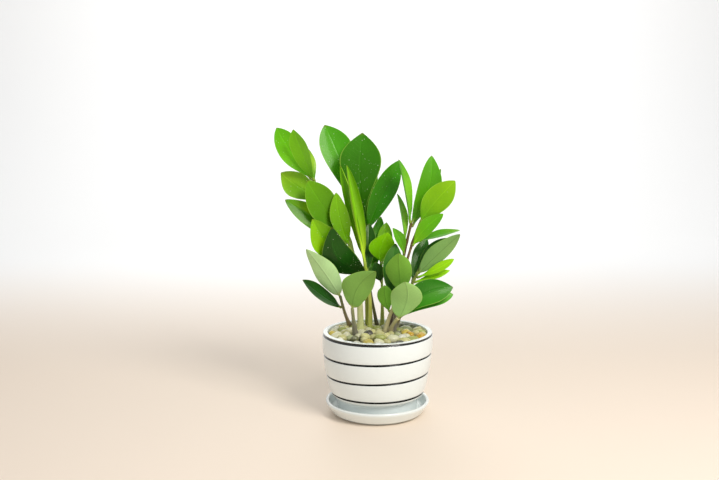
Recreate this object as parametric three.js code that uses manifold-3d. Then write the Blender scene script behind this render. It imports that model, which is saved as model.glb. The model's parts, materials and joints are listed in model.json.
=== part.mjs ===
// A ZZ plant (Zamioculcas) in a white glazed pot with dark glaze lines, standing in its own saucer.
//
// Everything is in millimetres, +Z up. The origin is the middle of the saucer's flat underside, and the
// pot's axis is the Z axis. Headings are degrees in plan from +X towards +Y, and rises are degrees above
// level. The viewer stands on the -Y side.
//
// From the bottom up: saucer, pot with a drain hole, potting soil, the rhizome buried in it, a layer of
// pebbles, the stems that pass through pebbles and soil into sockets in the rhizome, and the leaflets.
import * as THREE from "three";
import { mergeVertices } from "three/addons/utils/BufferGeometryUtils.js";
import Module from "manifold-3d";

const wasm = await Module();
wasm.setup();

// ---------------------------------------------------------------- driving dimensions

const GAP = 0.3; // between pieces that touch
const SEATING_STEP = 0.1; // by which a leaflet is moved out from its stem until it clears it
const TURN_STEPS = 36; // sides of everything round

const POT = {
  height: 85.7,
  rimRadius: 59.2,
  shoulderRadius: 50.4, // above the foot, at the lowest glaze line
  footRadius: 43,
  footHeight: 17,
  footRing: 5, // width of the ring that the pot stands on
  recess: 2, // how far the underside lies above that ring
  floor: 5,
  wall: 5,
  drainRadius: 7,
};

const GLAZE_LINE = { count: 4, width: 2, depth: 0.7, below: 1.7, aboveFoot: 4.2 };
const BAND_BULGE = 0.8; // how far each band swells between its lines
const BODY_CURVE = 2.2; // how soon the body reaches its full width

const SAUCER = {
  height: 15.5,
  floor: 4,
  footRoom: 5.6, // between the pot's foot and the edge of the inner floor
  flare: 7.7, // from that edge to the rim's outside
  baseInset: 4.6, // from that edge to the edge of the flat underside
  lip: 3.4, // thickness of the rounded rim
};

// Levels of the filling, below the pot's rim.
const FILL = { pebbleMiddle: 0.5, pebbleEdge: 3.5, soil: 11, bump: 1.1 };

const RHIZOME = { x: -3, y: 12, depth: 31, half: [34, 26, 13], socket: 5 };

const STEM = { sides: 8, rings: 7, footFlare: 1.6, swelling: 0.6 };

const LEAF = {
  thickness: 1.1,
  stalkRadius: 1.3,
  stations: [0, 0.09, 0.24, 0.42, 0.6, 0.77, 0.91],
  fullness: 0.72, // below 1, the outline is fuller than a sine
};

// ---------------------------------------------------------------- materials

const finish = (color, roughness) => new THREE.MeshStandardMaterial({ color, roughness, metalness: 0 });
const FINISH = {
  glaze: finish(0xf1f3ee, 0.25),
  soil: finish(0x3b2a1e, 0.95),
  pebble: finish(0xd8d3ae, 0.5),
  rhizome: finish(0xb59a6a, 0.8),
  stem: finish(0x8f8f5a, 0.5),
  lime: finish(0x74b81c, 0.35),
  green: finish(0x3f9416, 0.3),
  dark: finish(0x1f5a22, 0.3),
  pale: finish(0x8fbb62, 0.5),
};

// ---------------------------------------------------------------- shapes

const v3 = (x, y, z) => new THREE.Vector3(x, y, z);
const radians = THREE.MathUtils.degToRad;
const { lerp, smoothstep } = THREE.MathUtils;

/** A solid turned about Z from [radius, height] points. */
function turned(profile) {
  const points = profile.map(([radius, height]) => new THREE.Vector2(radius, height));
  return new THREE.LatheGeometry(points, TURN_STEPS).rotateX(Math.PI / 2);
}

/** The middle of a ring of points. */
const middle = (ring) => ring.reduce((sum, point) => sum.add(point), v3(0, 0, 0)).divideScalar(ring.length);

/** A closed solid through rings of equally many points, with a fan from each end ring to a point. */
function lofted(rings, endPoint = middle(rings[rings.length - 1])) {
  const sides = rings[0].length;
  const points = [...rings.flat(), middle(rings[0]), endPoint];
  const [startFan, endFan] = [points.length - 2, points.length - 1];
  const lastRing = (rings.length - 1) * sides;
  const faces = [];
  for (let i = 0; i < sides; i++) {
    const next = (i + 1) % sides;
    for (let ring = 0; ring < lastRing; ring += sides) {
      const [a, b, c, d] = [ring + i, ring + next, ring + sides + next, ring + sides + i];
      faces.push(a, b, c, a, c, d);
    }
    faces.push(startFan, next, i, endFan, lastRing + i, lastRing + next);
  }
  const geometry = new THREE.BufferGeometry();
  geometry.setAttribute("position", new THREE.Float32BufferAttribute(points.flatMap((p) => p.toArray()), 3));
  geometry.setIndex(faces);
  return geometry;
}

/** The manifold-3d solid of a closed geometry. */
function solidOf(geometry) {
  const bare = geometry.clone();
  bare.deleteAttribute("normal");
  bare.deleteAttribute("uv");
  const merged = mergeVertices(bare, 1e-3);
  const triVerts = new Uint32Array(merged.index.array);
  const vertProperties = merged.attributes.position.array;
  return new wasm.Manifold(new wasm.Mesh({ numProp: 3, vertProperties, triVerts }));
}

/** The geometry of a manifold-3d solid. */
function geometryOf(solid) {
  const { vertProperties, triVerts } = solid.getMesh();
  const geometry = new THREE.BufferGeometry();
  geometry.setAttribute("position", new THREE.BufferAttribute(vertProperties, 3));
  geometry.setIndex(new THREE.BufferAttribute(triVerts, 1));
  return geometry;
}

const plant = new THREE.Group();
plant.name = "potted_zz_plant";

/** Puts a piece into the plant under its own name. */
function place(name, geometry, material) {
  const mesh = new THREE.Mesh(geometry, material);
  mesh.name = name;
  plant.add(mesh);
}

// ---------------------------------------------------------------- saucer

const well = POT.footRadius + SAUCER.footRoom;
const base = well - SAUCER.baseInset;
const saucerRim = well + SAUCER.flare;
const lipMiddle = SAUCER.height - SAUCER.lip / 2;

place(
  "saucer",
  turned([
    [0, 0],
    [base, 0],
    [lerp(base, saucerRim, 0.45), SAUCER.height * 0.2],
    [saucerRim - 0.8, lipMiddle - SAUCER.lip / 2],
    [saucerRim, lipMiddle],
    [saucerRim - SAUCER.lip / 2, SAUCER.height],
    [saucerRim - SAUCER.lip, lipMiddle],
    [well + 1.2, SAUCER.floor + 1.6],
    [well, SAUCER.floor],
    [0, SAUCER.floor],
  ]),
  FINISH.glaze,
);

// ---------------------------------------------------------------- pot

const potBase = SAUCER.floor + GAP;
const potRim = potBase + POT.height;
const innerFloor = potBase + POT.recess + POT.floor;
const shoulder = potBase + POT.footHeight;
const lowestLine = shoulder + GLAZE_LINE.aboveFoot;
const highestLine = potRim - GLAZE_LINE.below;

/** Radius of the pot's body at a height, before lines and bands. */
function bodyRadius(z) {
  const share = THREE.MathUtils.clamp((z - lowestLine) / (highestLine - lowestLine), 0, 1);
  return lerp(POT.rimRadius, POT.shoulderRadius, (1 - share) ** BODY_CURVE);
}

/** Radius of the pot's inside at a height. */
function insideRadius(z) {
  const floorShare = THREE.MathUtils.clamp((lowestLine - z) / (lowestLine - innerFloor), 0, 1);
  return lerp(bodyRadius(z), POT.footRadius, floorShare) - POT.wall;
}

const lineHeights = Array.from({ length: GLAZE_LINE.count }, (_, i) =>
  lerp(lowestLine, highestLine, i / (GLAZE_LINE.count - 1)),
);

/** The pot's outside from the lowest glaze line to the highest, with a groove for each line. */
function bodyProfile() {
  const half = GLAZE_LINE.width / 2;
  return lineHeights.flatMap((z, index) => {
    const groove = [
      [bodyRadius(z - half), z - half],
      [bodyRadius(z) - GLAZE_LINE.depth, z],
    ];
    if (index === GLAZE_LINE.count - 1) return groove;
    const bandMiddle = (z + lineHeights[index + 1]) / 2;
    return [...groove, [bodyRadius(z + half), z + half], [bodyRadius(bandMiddle) + BAND_BULGE, bandMiddle]];
  });
}

const soilTop = potRim - FILL.soil;
const lowerLines = lineHeights.slice(0, -1);
const insideHeights = [potRim - POT.wall / 3, soilTop, ...lowerLines, innerFloor].sort((a, b) => b - a);
const footInside = POT.footRadius - POT.footRing;

place(
  "pot",
  turned([
    [POT.drainRadius, potBase + POT.recess],
    [footInside, potBase + POT.recess],
    [footInside, potBase],
    [POT.footRadius, potBase],
    [POT.footRadius + 0.6, shoulder - 2.4],
    [POT.shoulderRadius - 2.4, shoulder],
    ...bodyProfile(),
    [POT.rimRadius - POT.wall / 2, potRim],
    ...insideHeights.map((z) => [insideRadius(z), z]),
    [POT.drainRadius, innerFloor],
    [POT.drainRadius, potBase + POT.recess],
  ]),
  FINISH.glaze,
);

// ---------------------------------------------------------------- the plant's plan

const ground = potRim - FILL.pebbleMiddle; // where the stems come out of the pebbles

const leaf = (color, at, shape) => ({ color, at, ...shape });

// Each stem: its foot on the pebbles [x, y], the point that its curve is drawn towards, its top, both with
// heights above the pebbles, its radius at the top, and its leaflets. A leaflet grows at a share of its
// stem's curve. `aims` is the heading and the rise from there to its tip, `length` away, and `faces` those
// of its upper side. `arch` bows it towards its upper side, `sweep` bows it sideways and `fold` lifts its
// halves, all in degrees, and `widest` is where along its length it is widest.
const STEMS = {
  left_low: {
    foot: [-30, 28],
    knee: [-35, 14, 12.5],
    top: [-40, -8, 40.5],
    radius: 1.5,
    leaves: [
      leaf("pale", 0.97, { aims: [-161, 55], length: 65, width: 26, faces: [75, 20], widest: 0.4 }),
      leaf("dark", 0.66, { aims: [-167, 37], length: 56, width: 24, faces: [-90, 66], sweep: -24 }),
    ],
  },
  front_left: {
    foot: [-24, -8],
    knee: [-26, -14, 15.5],
    top: [-27, -18, 29.5],
    radius: 1.8,
    leaves: [
      leaf("pale", 1, { aims: [-33, 55], length: 51, width: 32, faces: [90, 20], sweep: 27, widest: 0.42 }),
    ],
  },
  left_tall: {
    foot: [-18, 12],
    knee: [-20, 16, 124.5],
    top: [-72, 0, 163.5],
    radius: 2,
    leaves: [
      leaf("lime", 0.94, {
        aims: [172, 55], length: 72, width: 25, faces: [-95, 10],
        arch: 15, sweep: -5, widest: 0.6,
      }),
      leaf("lime", 0.94, {
        aims: [-140, 64], length: 64, width: 24, faces: [-125, 0],
        sweep: 5, widest: 0.6,
      }),
      leaf("green", 0.94, { aims: [136, 68], length: 43, width: 14, faces: [-45, 0], sweep: -8 }),
      leaf("lime", 0.77, {
        aims: [176, 29], length: 60, width: 27, faces: [-95, 15],
        arch: 12, sweep: -15, widest: 0.6,
      }),
      leaf("lime", 0.52, { aims: [-151, 51], length: 73, width: 33, faces: [-80, 5], sweep: -9 }),
      leaf("lime", 0.43, { aims: [-168, 36], length: 87, width: 24, faces: [-85, 20], arch: 12 }),
      leaf("lime", 0.4, { aims: [-132, 69], length: 69, width: 20, faces: [-80, 0], sweep: -11 }),
      leaf("lime", 0.32, {
        aims: [-148, 45], length: 74, width: 29, faces: [-95, 5],
        sweep: -14, widest: 0.6,
      }),
    ],
  },
  centre_tall: {
    foot: [-10, 32],
    knee: [-12, 28, 56.5],
    top: [-14, 22, 109.5],
    radius: 1.7,
    leaves: [
      leaf("green", 0.9, {
        aims: [160, 69], length: 130, width: 35, faces: [-80, 0],
        sweep: 5, widest: 0.74,
      }),
      leaf("green", 1, {
        aims: [-109, 86], length: 103, width: 44, faces: [-88, 0],
        sweep: -9, widest: 0.72,
      }),
      leaf("green", 0.92, { aims: [3, 65], length: 90, width: 25, faces: [-95, 0], sweep: -3, fold: 12 }),
      leaf("green", 0.88, { aims: [62, 73], length: 84, width: 16, faces: [-90, 0], sweep: -5 }),
      leaf("green", 0.75, { aims: [118, 58], length: 74, width: 23, faces: [-60, 20], sweep: -9 }),
    ],
  },
  spear: {
    foot: [-8, 18],
    knee: [-6, 8, 41.5],
    top: [-14, 0, 73.5],
    radius: 1.5,
    leaves: [
      leaf("lime", 1, { aims: [-147, 78], length: 108, width: 12, faces: [-60, 0], arch: -8, sweep: 6 }),
      leaf("lime", 0.83, { aims: [168, 76], length: 119, width: 11, faces: [-120, 0], arch: -4, sweep: 4 }),
    ],
  },
  mid_dark: {
    foot: [0, 24],
    knee: [-6, 20, 30.5],
    top: [-11, 6, 64.5],
    radius: 1.2,
    leaves: [
      leaf("dark", 0.96, {
        aims: [-144, 49], length: 71, width: 34, faces: [-105, 10],
        sweep: -36, widest: 0.5,
      }),
      leaf("dark", 1, { aims: [81, 74], length: 52, width: 16, faces: [-90, 0] }),
      leaf("green", 0.84, { aims: [68, 61], length: 75, width: 17, faces: [-90, 0] }),
    ],
  },
  mid_lime: {
    foot: [6, 32],
    knee: [6, 26, 34.5],
    top: [4, 14, 73.5],
    radius: 1.3,
    leaves: [
      leaf("lime", 0.98, {
        aims: [-64, 66], length: 39, width: 29, faces: [-75, 10],
        sweep: -26, widest: 0.6,
      }),
      leaf("lime", 0.88, { aims: [61, 77], length: 52, width: 17, faces: [-90, 0], sweep: -2 }),
      leaf("dark", 0.65, { aims: [-117, 58], length: 33, width: 15, faces: [-90, 10] }),
    ],
  },
  front_right: {
    foot: [9, 2],
    knee: [11, -4, 18.5],
    top: [25, -14, 46.5],
    radius: 1.6,
    leaves: [
      leaf("pale", 1, { aims: [-104, 67], length: 47, width: 28, faces: [90, 15], sweep: 3, widest: 0.48 }),
      leaf("pale", 0.48, { aims: [-112, 62], length: 39, width: 17, faces: [90, 10], sweep: 11 }),
      leaf("dark", 0.73, { aims: [86, 81], length: 64, width: 22, faces: [-90, 0], sweep: -10 }),
    ],
  },
  front_round: {
    foot: [14, -2],
    knee: [14, -6, 7.5],
    top: [22, -12, 17.5],
    radius: 1.8,
    leaves: [
      leaf("pale", 1, { aims: [-79, 59], length: 51, width: 35, faces: [95, 15], sweep: -25, widest: 0.48 }),
      leaf("green", 0.88, {
        aims: [11, 28], length: 70, width: 29, faces: [-95, 20],
        sweep: -26, fold: 14, widest: 0.6,
      }),
      leaf("green", 0.8, {
        aims: [16, 21], length: 70, width: 18, faces: [-90, 25],
        sweep: -14, widest: 0.65,
      }),
    ],
  },
  right_tall: {
    foot: [15, 16],
    knee: [23, 12, 59.5],
    top: [36, 6, 117.5],
    radius: 1.4,
    leaves: [
      leaf("green", 1, { aims: [11, 73], length: 74, width: 25, faces: [-90, 0], sweep: 20 }),
      leaf("lime", 0.96, { aims: [-163, 79], length: 73, width: 21, faces: [-22, 0], sweep: -13 }),
      leaf("lime", 0.73, { aims: [-155, 81], length: 63, width: 18, faces: [-22, 0], sweep: -6 }),
      leaf("lime", 0.68, { aims: [-122, 54], length: 41, width: 11, faces: [-70, 0], sweep: 12 }),
      leaf("green", 0.9, { aims: [35, 57], length: 80, width: 15, faces: [-40, 0], sweep: -10 }),
    ],
  },
  right_twin: {
    foot: [18, 6],
    knee: [23, 4, 60.5],
    top: [45, -2, 119.5],
    radius: 1.4,
    leaves: [
      leaf("lime", 1, { aims: [-17, 50], length: 57, width: 28, faces: [-90, 15], sweep: -5 }),
      leaf("lime", 0.72, { aims: [-22, 49], length: 56, width: 16, faces: [-90, 20], sweep: -12 }),
      leaf("green", 0.8, { aims: [22, 11], length: 58, width: 14, faces: [-90, 70], sweep: 11 }),
    ],
  },
  right_low: {
    foot: [21, 20],
    knee: [29, 22, 29.5],
    top: [44, 14, 62.5],
    radius: 1.5,
    leaves: [
      leaf("pale", 0.93, {
        aims: [-28, 44], length: 70, width: 21, faces: [75, 35],
        sweep: -2, widest: 0.45,
      }),
      leaf("dark", 0.9, { aims: [14, 43], length: 60, width: 18, faces: [-95, 30], sweep: -18 }),
      leaf("dark", 0.74, { aims: [50, 60], length: 58, width: 17, faces: [-95, 0], sweep: -5 }),
      leaf("lime", 0.88, { aims: [-8, 28], length: 48, width: 10, faces: [-90, 20], sweep: 7, widest: 0.65 }),
      leaf("lime", 0.8, { aims: [0, 19], length: 43, width: 8, faces: [-90, 20], widest: 0.6 }),
    ],
  },
};

// ---------------------------------------------------------------- stems

/** The unit vector at a heading and a rise. */
function bearing(heading, rise) {
  const [turn, lift] = [radians(heading), radians(rise)];
  return v3(Math.cos(lift) * Math.cos(turn), Math.cos(lift) * Math.sin(turn), Math.sin(lift));
}

/** Height of the rhizome's upper side under a stem's foot. */
function rhizomeTop(x, y) {
  const [halfX, halfY, halfZ] = RHIZOME.half;
  const outward = ((x - RHIZOME.x) / halfX) ** 2 + ((y - RHIZOME.y) / halfY) ** 2;
  return ground - RHIZOME.depth + halfZ * Math.sqrt(Math.max(0, 1 - outward));
}

/** The curve of a stem above the pebbles. */
function stemBend({ foot, knee, top }) {
  const aboveGround = ([x, y, height]) => v3(x, y, ground + height);
  return new THREE.QuadraticBezierCurve3(v3(...foot, ground), aboveGround(knee), aboveGround(top));
}

/** Radius of a stem at a share of its bend: swollen at the foot, slender at the top. */
function stemRadius(stem, share) {
  const footRadius = stem.radius * STEM.footFlare + STEM.swelling;
  return lerp(footRadius, stem.radius, Math.min(1, share * 1.6) ** 0.6);
}

/** A ring of points round a centre, square to a direction. */
function ringAcross(centre, ahead, radius) {
  const side = v3(0, 1, 0).cross(ahead).normalize();
  const front = ahead.clone().cross(side).normalize();
  return Array.from({ length: STEM.sides }, (_, k) => {
    const turn = (k / STEM.sides) * 2 * Math.PI;
    return centre
      .clone()
      .addScaledVector(side, Math.cos(turn) * radius)
      .addScaledVector(front, Math.sin(turn) * radius);
  });
}

/** A stem from its socket in the rhizome to its top, or the clearance round it, `room` larger. */
function stemGeometry(stem, room = 0) {
  const [x, y] = stem.foot;
  const socketEnd = v3(x, y, rhizomeTop(x, y) - RHIZOME.socket - room);
  const bend = stemBend(stem);
  const rings = [ringAcross(socketEnd, v3(0, 0, 1), stemRadius(stem, 0) + room)];
  for (let i = 0; i < STEM.rings; i++) {
    const share = i / (STEM.rings - 1);
    const ahead = i === 0 ? v3(0, 0, 1) : bend.getTangent(share);
    rings.push(ringAcross(bend.getPoint(share), ahead, stemRadius(stem, share) + room));
  }
  return lofted(rings);
}

// ---------------------------------------------------------------- leaflets

/** How wide a leaflet is at a share of its length, as a share of its greatest width. */
function outline(share, widest) {
  const power = Math.log(0.5) / Math.log(widest);
  return Math.sin(Math.PI * share ** power) ** LEAF.fullness;
}

/** The directions of a leaflet's upper side and of its right-hand side, square to its length. */
function leafSides(chord, faces) {
  const facing = bearing(...faces);
  const up = facing.addScaledVector(chord, -facing.dot(chord)).normalize();
  return [up, chord.clone().cross(up)];
}

/**
 * A leaflet: a thin blade lofted along its bowed midrib, from a round stalk to a pointed tip. The stalk
 * starts `free` from the middle of its stem.
 */
function leafGeometry(stem, { at, aims, length, width, faces, ...form }, free) {
  const { arch = 10, sweep = 0, fold = 8, widest = 0.55 } = form;
  const [archSlope, sweepSlope, foldSlope] = [arch, sweep, fold].map((angle) => Math.tan(radians(angle)));
  const root = stemBend(stem).getPoint(at);
  const aim = bearing(...aims);
  const [aimUp, aimSide] = leafSides(aim, faces);
  const stalk = aim.clone().addScaledVector(aimUp, archSlope).addScaledVector(aimSide, sweepSlope);
  const start = root.clone().addScaledVector(stalk.normalize(), free);
  const tip = root.clone().addScaledVector(aim, length);
  const span = tip.distanceTo(start);
  const chord = tip.clone().sub(start).normalize();
  const [up, side] = leafSides(chord, faces);

  const rings = LEAF.stations.map((share) => {
    const bow = share * (1 - share) * span;
    const blade = smoothstep(share, 0.02, 0.2);
    const half = Math.max(LEAF.stalkRadius * (1 - 0.6 * share), (outline(share, widest) * width) / 2);
    const thick = lerp(LEAF.stalkRadius, LEAF.thickness / 2, blade) * (1 - 0.5 * share);
    const lift = half * foldSlope * blade;
    const centre = start
      .clone()
      .addScaledVector(chord, share * span)
      .addScaledVector(up, bow * archSlope)
      .addScaledVector(side, bow * sweepSlope);
    const point = (across, skin) =>
      centre
        .clone()
        .addScaledVector(side, across * half)
        .addScaledVector(up, Math.abs(across) * lift + Math.sqrt(1 - across * across) * thick * skin);
    const upper = [-1, -0.5, 0, 0.5, 1].map((across) => point(across, 1));
    const lower = [0.5, 0, -0.5].map((across) => point(across, -1));
    return [...upper, ...lower];
  });
  return lofted(rings, tip);
}

/** A leaflet that starts as near to its stem as the gap between them allows. */
function seatedLeaf(stem, stemSolid, shape) {
  let free = 0;
  let geometry;
  do {
    free += SEATING_STEP;
    geometry = leafGeometry(stem, shape, free);
  } while (solidOf(geometry).minGap(stemSolid, 2 * GAP) < GAP);
  return geometry;
}

for (const [name, stem] of Object.entries(STEMS)) {
  const stemBody = stemGeometry(stem);
  const stemSolid = solidOf(stemBody);
  place(`stem_${name}`, stemBody, FINISH.stem);
  stem.leaves.forEach((shape, index) => {
    place(`leaf_${name}_${index + 1}`, seatedLeaf(stem, stemSolid, shape), FINISH[shape.color]);
  });
}

// ---------------------------------------------------------------- rhizome, soil and pebbles

const stemRoom = wasm.Manifold.union(Object.values(STEMS).map((stem) => solidOf(stemGeometry(stem, GAP))));

/** The rhizome's body, or the hollow round it, `room` larger. */
function rhizomeBody(room = 0) {
  const [halfX, halfY, halfZ] = RHIZOME.half.map((half) => half + room);
  const body = new THREE.SphereGeometry(1, 14, 8).rotateX(Math.PI / 2).scale(halfX, halfY, halfZ);
  return solidOf(body.translate(RHIZOME.x, RHIZOME.y, ground - RHIZOME.depth));
}

place("rhizome", geometryOf(rhizomeBody().subtract(stemRoom)), FINISH.rhizome);

const soilHeights = [innerFloor + GAP, ...lineHeights.filter((z) => z < soilTop), soilTop];
const soilBody = solidOf(
  turned([[0, innerFloor + GAP], ...soilHeights.map((z) => [insideRadius(z) - GAP, z]), [0, soilTop]]),
);
place("soil", geometryOf(soilBody.subtract(rhizomeBody(GAP)).subtract(stemRoom)), FINISH.soil);

/** The pebble layer as one bed with an uneven top. */
function pebbleBed() {
  const bottom = soilTop + GAP;
  const edge = potRim - FILL.pebbleEdge;
  const edgeRadius = insideRadius(edge) - GAP;
  const crown = (share) => [edgeRadius * share, lerp(ground, edge, share ** 2)];
  const bed = turned([
    [0, bottom],
    [insideRadius(bottom) - GAP, bottom],
    ...[1, 0.86, 0.68, 0.48, 0.26].map(crown),
    [0, ground],
  ]);
  const { position } = bed.attributes;
  for (let i = 0; i < position.count; i++) {
    const [x, y, z] = [position.getX(i), position.getY(i), position.getZ(i)];
    const inner = z > bottom + 1 && Math.hypot(x, y) < edgeRadius * 0.95;
    if (inner) position.setZ(i, z + FILL.bump * Math.sin(x * 0.61 + 1.3) * Math.sin(y * 0.53 + 0.4));
  }
  return bed;
}

place("pebbles", geometryOf(solidOf(pebbleBed()).subtract(stemRoom)), FINISH.pebble);

export default plant;
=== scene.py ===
"""A ZZ plant in its glazed pot: stems, leaflets, washed pebbles, pot and saucer, dressed for close looks.

Every length named `..._mm` is in millimetres, and meshes are in metres. Places and sizes come from the frame:
each leaflet and each stem is read back from its plain solid and built again finely on the same lines.
"""

import json
import logging
import math
from collections.abc import Sequence
from dataclasses import dataclass, field
from enum import Enum

import bmesh
import bpy
import numpy as np
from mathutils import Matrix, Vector


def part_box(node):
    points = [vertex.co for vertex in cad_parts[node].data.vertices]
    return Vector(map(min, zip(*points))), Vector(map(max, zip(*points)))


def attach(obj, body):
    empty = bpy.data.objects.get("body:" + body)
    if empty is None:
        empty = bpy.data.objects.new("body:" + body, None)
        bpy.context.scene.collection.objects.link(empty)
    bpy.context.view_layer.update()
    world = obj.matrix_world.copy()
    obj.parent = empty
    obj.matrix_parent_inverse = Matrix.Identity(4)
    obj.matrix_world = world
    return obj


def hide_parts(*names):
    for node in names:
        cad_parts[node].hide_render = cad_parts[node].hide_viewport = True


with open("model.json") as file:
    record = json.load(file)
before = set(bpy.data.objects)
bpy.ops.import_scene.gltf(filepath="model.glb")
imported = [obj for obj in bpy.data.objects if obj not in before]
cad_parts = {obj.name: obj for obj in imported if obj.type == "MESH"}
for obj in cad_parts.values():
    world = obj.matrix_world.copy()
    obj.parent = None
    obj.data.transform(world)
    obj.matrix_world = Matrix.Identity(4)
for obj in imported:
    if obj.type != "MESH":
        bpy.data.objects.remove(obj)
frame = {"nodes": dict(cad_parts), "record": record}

LOG = logging.getLogger("zz_plant")
MM = 0.001
BODY = "root"
Color = tuple[float, float, float, float]
Place = tuple[float, float, float]
Socket = bpy.types.NodeSocket


# ------------------------------------------------------------------ colours and small helpers


def linear(code: str) -> Color:
    """Turns a hex colour into a linear one.

    Args:
        code: The colour as six hex digits.

    Returns:
        Linear red, green, blue and an alpha of 1.
    """
    shares = [int(code[i : i + 2], 16) / 255 for i in (0, 2, 4)]
    red, green, blue = [c / 12.92 if c <= 0.04045 else ((c + 0.055) / 1.055) ** 2.4 for c in shares]
    return (red, green, blue, 1.0)


def ramp(value: np.ndarray, low: float, high: float) -> np.ndarray:
    """A smooth step from 0 at `low` to 1 at `high`."""
    share = np.clip((value - low) / (high - low), 0.0, 1.0)
    return share * share * (3.0 - 2.0 * share)


def unit(vector: np.ndarray) -> np.ndarray:
    """The vector at length 1."""
    return vector / np.linalg.norm(vector)


def rgb(code: str) -> np.ndarray:
    """A hex colour as linear red, green and blue."""
    return np.array(linear(code)[:3])


def toward(color: np.ndarray, goal: np.ndarray, share: np.ndarray) -> np.ndarray:
    """A colour moved towards another by a share of the way."""
    return color + (goal - color) * share


class Stored(Enum):
    """What is stored at each point: its type, and the field that holds it."""

    NUMBER = ("FLOAT", "value")
    VECTOR = ("FLOAT_VECTOR", "vector")
    COLOR = ("FLOAT_COLOR", "color")


def mesh_from(
    name: str,
    points: np.ndarray,
    faces: Sequence[Sequence[int]] = (),
    edges: Sequence[Sequence[int]] = (),
) -> bpy.types.Mesh:
    """Makes a mesh with smooth faces.

    Args:
        name: The mesh's name.
        points: Its vertices, in metres.
        faces: The vertices of each face.
        edges: The vertices of each loose edge.

    Returns:
        The mesh.
    """
    mesh = bpy.data.meshes.new(name)
    mesh.from_pydata([tuple(p) for p in points], list(edges), list(faces))
    mesh.update()
    if faces:
        mesh.polygons.foreach_set("use_smooth", [True] * len(faces))
    return mesh


def set_attribute(mesh: bpy.types.Mesh, name: str, kind: Stored, values: np.ndarray) -> None:
    """Stores a value at each vertex.

    Args:
        mesh: The mesh.
        name: The attribute's name.
        kind: How it is stored.
        values: One row for each vertex.
    """
    data_type, key = kind.value
    attribute = mesh.attributes.new(name, data_type, "POINT")
    attribute.data.foreach_set(key, np.asarray(values, np.float32).ravel())


def add_piece(name: str, mesh: bpy.types.Mesh, replaced: Sequence[str] = ()) -> bpy.types.Object:
    """Puts a finished mesh into the scene as a piece that rides on the body.

    Args:
        name: The piece's name.
        mesh: Its mesh, in place.
        replaced: The CAD nodes that it stands for.

    Returns:
        The object.
    """
    piece = bpy.data.objects.new(name, mesh)
    bpy.context.scene.collection.objects.link(piece)
    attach(piece, BODY)
    if replaced:
        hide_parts(*replaced)
    return piece


def evaluated_mesh(source: bpy.types.Object) -> bpy.types.Mesh:
    """Applies an object's modifiers and removes the object.

    Args:
        source: The object with the modifier.

    Returns:
        The resulting mesh.
    """
    bpy.context.view_layer.update()
    evaluated = source.evaluated_get(bpy.context.evaluated_depsgraph_get())
    mesh = bpy.data.meshes.new_from_object(evaluated)
    bpy.data.objects.remove(source)
    return mesh


# ------------------------------------------------------------------ node building


class Wires:
    """Builds the nodes of one tree, with links made as the nodes are placed."""

    def __init__(self, tree: bpy.types.NodeTree) -> None:
        """Starts on a tree."""
        self.tree = tree

    def add(self, kind: str, values: dict | None = None, **settings: object) -> bpy.types.Node:
        """Adds a node.

        Args:
            kind: The node's type.
            values: Its inputs by name or number, each a value or another node's output.
            **settings: Its own properties.

        Returns:
            The node.
        """
        node = self.tree.nodes.new(kind)
        for key, value in settings.items():
            setattr(node, key, value)
        for key, value in (values or {}).items():
            self.feed(node.inputs[key], value)
        return node

    def feed(self, socket: bpy.types.NodeSocket, value: object) -> None:
        """Links an output to a socket, or sets the socket's own value.

        Args:
            socket: The input to feed.
            value: A node's output or a plain value.
        """
        if isinstance(value, bpy.types.NodeSocket):
            self.tree.links.new(value, socket)
        else:
            socket.default_value = value

    def named(self, name: str, kind: str) -> Socket:
        """The values of a named attribute, in a geometry tree."""
        node = self.add("GeometryNodeInputNamedAttribute", {"Name": name}, data_type=kind)
        return next(socket for socket in node.outputs if socket.enabled)

    def math(self, operation: str, *terms: object) -> Socket:
        """The result of a Math node."""
        return self.add("ShaderNodeMath", dict(enumerate(terms)), operation=operation).outputs[0]

    def times(self, first: object, second: object) -> Socket:
        """Two values multiplied."""
        return self.math("MULTIPLY", first, second)

    def scaled(self, value: object, gain: object, start: object) -> Socket:
        """A value times a gain, added to a start."""
        return self.math("MULTIPLY_ADD", value, gain, start)

    def between(self, value: object, low: object, high: object) -> Socket:
        """A smooth step from 0 where a value is `low` to 1 where it is `high`."""
        values = {"Value": value, "From Min": low, "From Max": high}
        return self.add("ShaderNodeMapRange", values, interpolation_type="SMOOTHSTEP").outputs["Result"]

    def mix(self, factor: object, first: object, second: object, blend: str = "MIX") -> Socket:
        """Two colours mixed."""
        values = {0: factor, 6: first, 7: second}
        return self.add("ShaderNodeMix", values, data_type="RGBA", blend_type=blend).outputs[2]

    def multiply(self, color: object, gain: object) -> Socket:
        """A colour times another."""
        return self.mix(1.0, color, gain, "MULTIPLY")

    def overlay(self, mask: Socket, strength: float, below: object, above: object) -> Socket:
        """A colour laid over another where a mask says."""
        return self.mix(self.times(mask, strength), below, above)

    def noise(self, vector: object, scale: object, detail: float = 3.0, roughness: float = 0.5) -> Socket:
        """The grey value of a noise texture."""
        values = {"Vector": vector, "Scale": scale, "Detail": detail, "Roughness": roughness}
        return self.add("ShaderNodeTexNoise", values).outputs[0]


def new_group(name: str, kind: str, inputs: dict[str, str], outputs: dict[str, str]) -> tuple[Wires, dict]:
    """Starts a node group.

    Args:
        name: The group's name.
        kind: The type of its tree.
        inputs: Socket types by input name.
        outputs: Socket types by output name.

    Returns:
        Its wires, and its input sockets by name.
    """
    tree = bpy.data.node_groups.new(name, kind)
    for title, socket in inputs.items():
        tree.interface.new_socket(title, in_out="INPUT", socket_type=socket)
    for title, socket in outputs.items():
        tree.interface.new_socket(title, in_out="OUTPUT", socket_type=socket)
    source = tree.nodes.new("NodeGroupInput")
    return Wires(tree), {title: source.outputs[title] for title in inputs}


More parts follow.
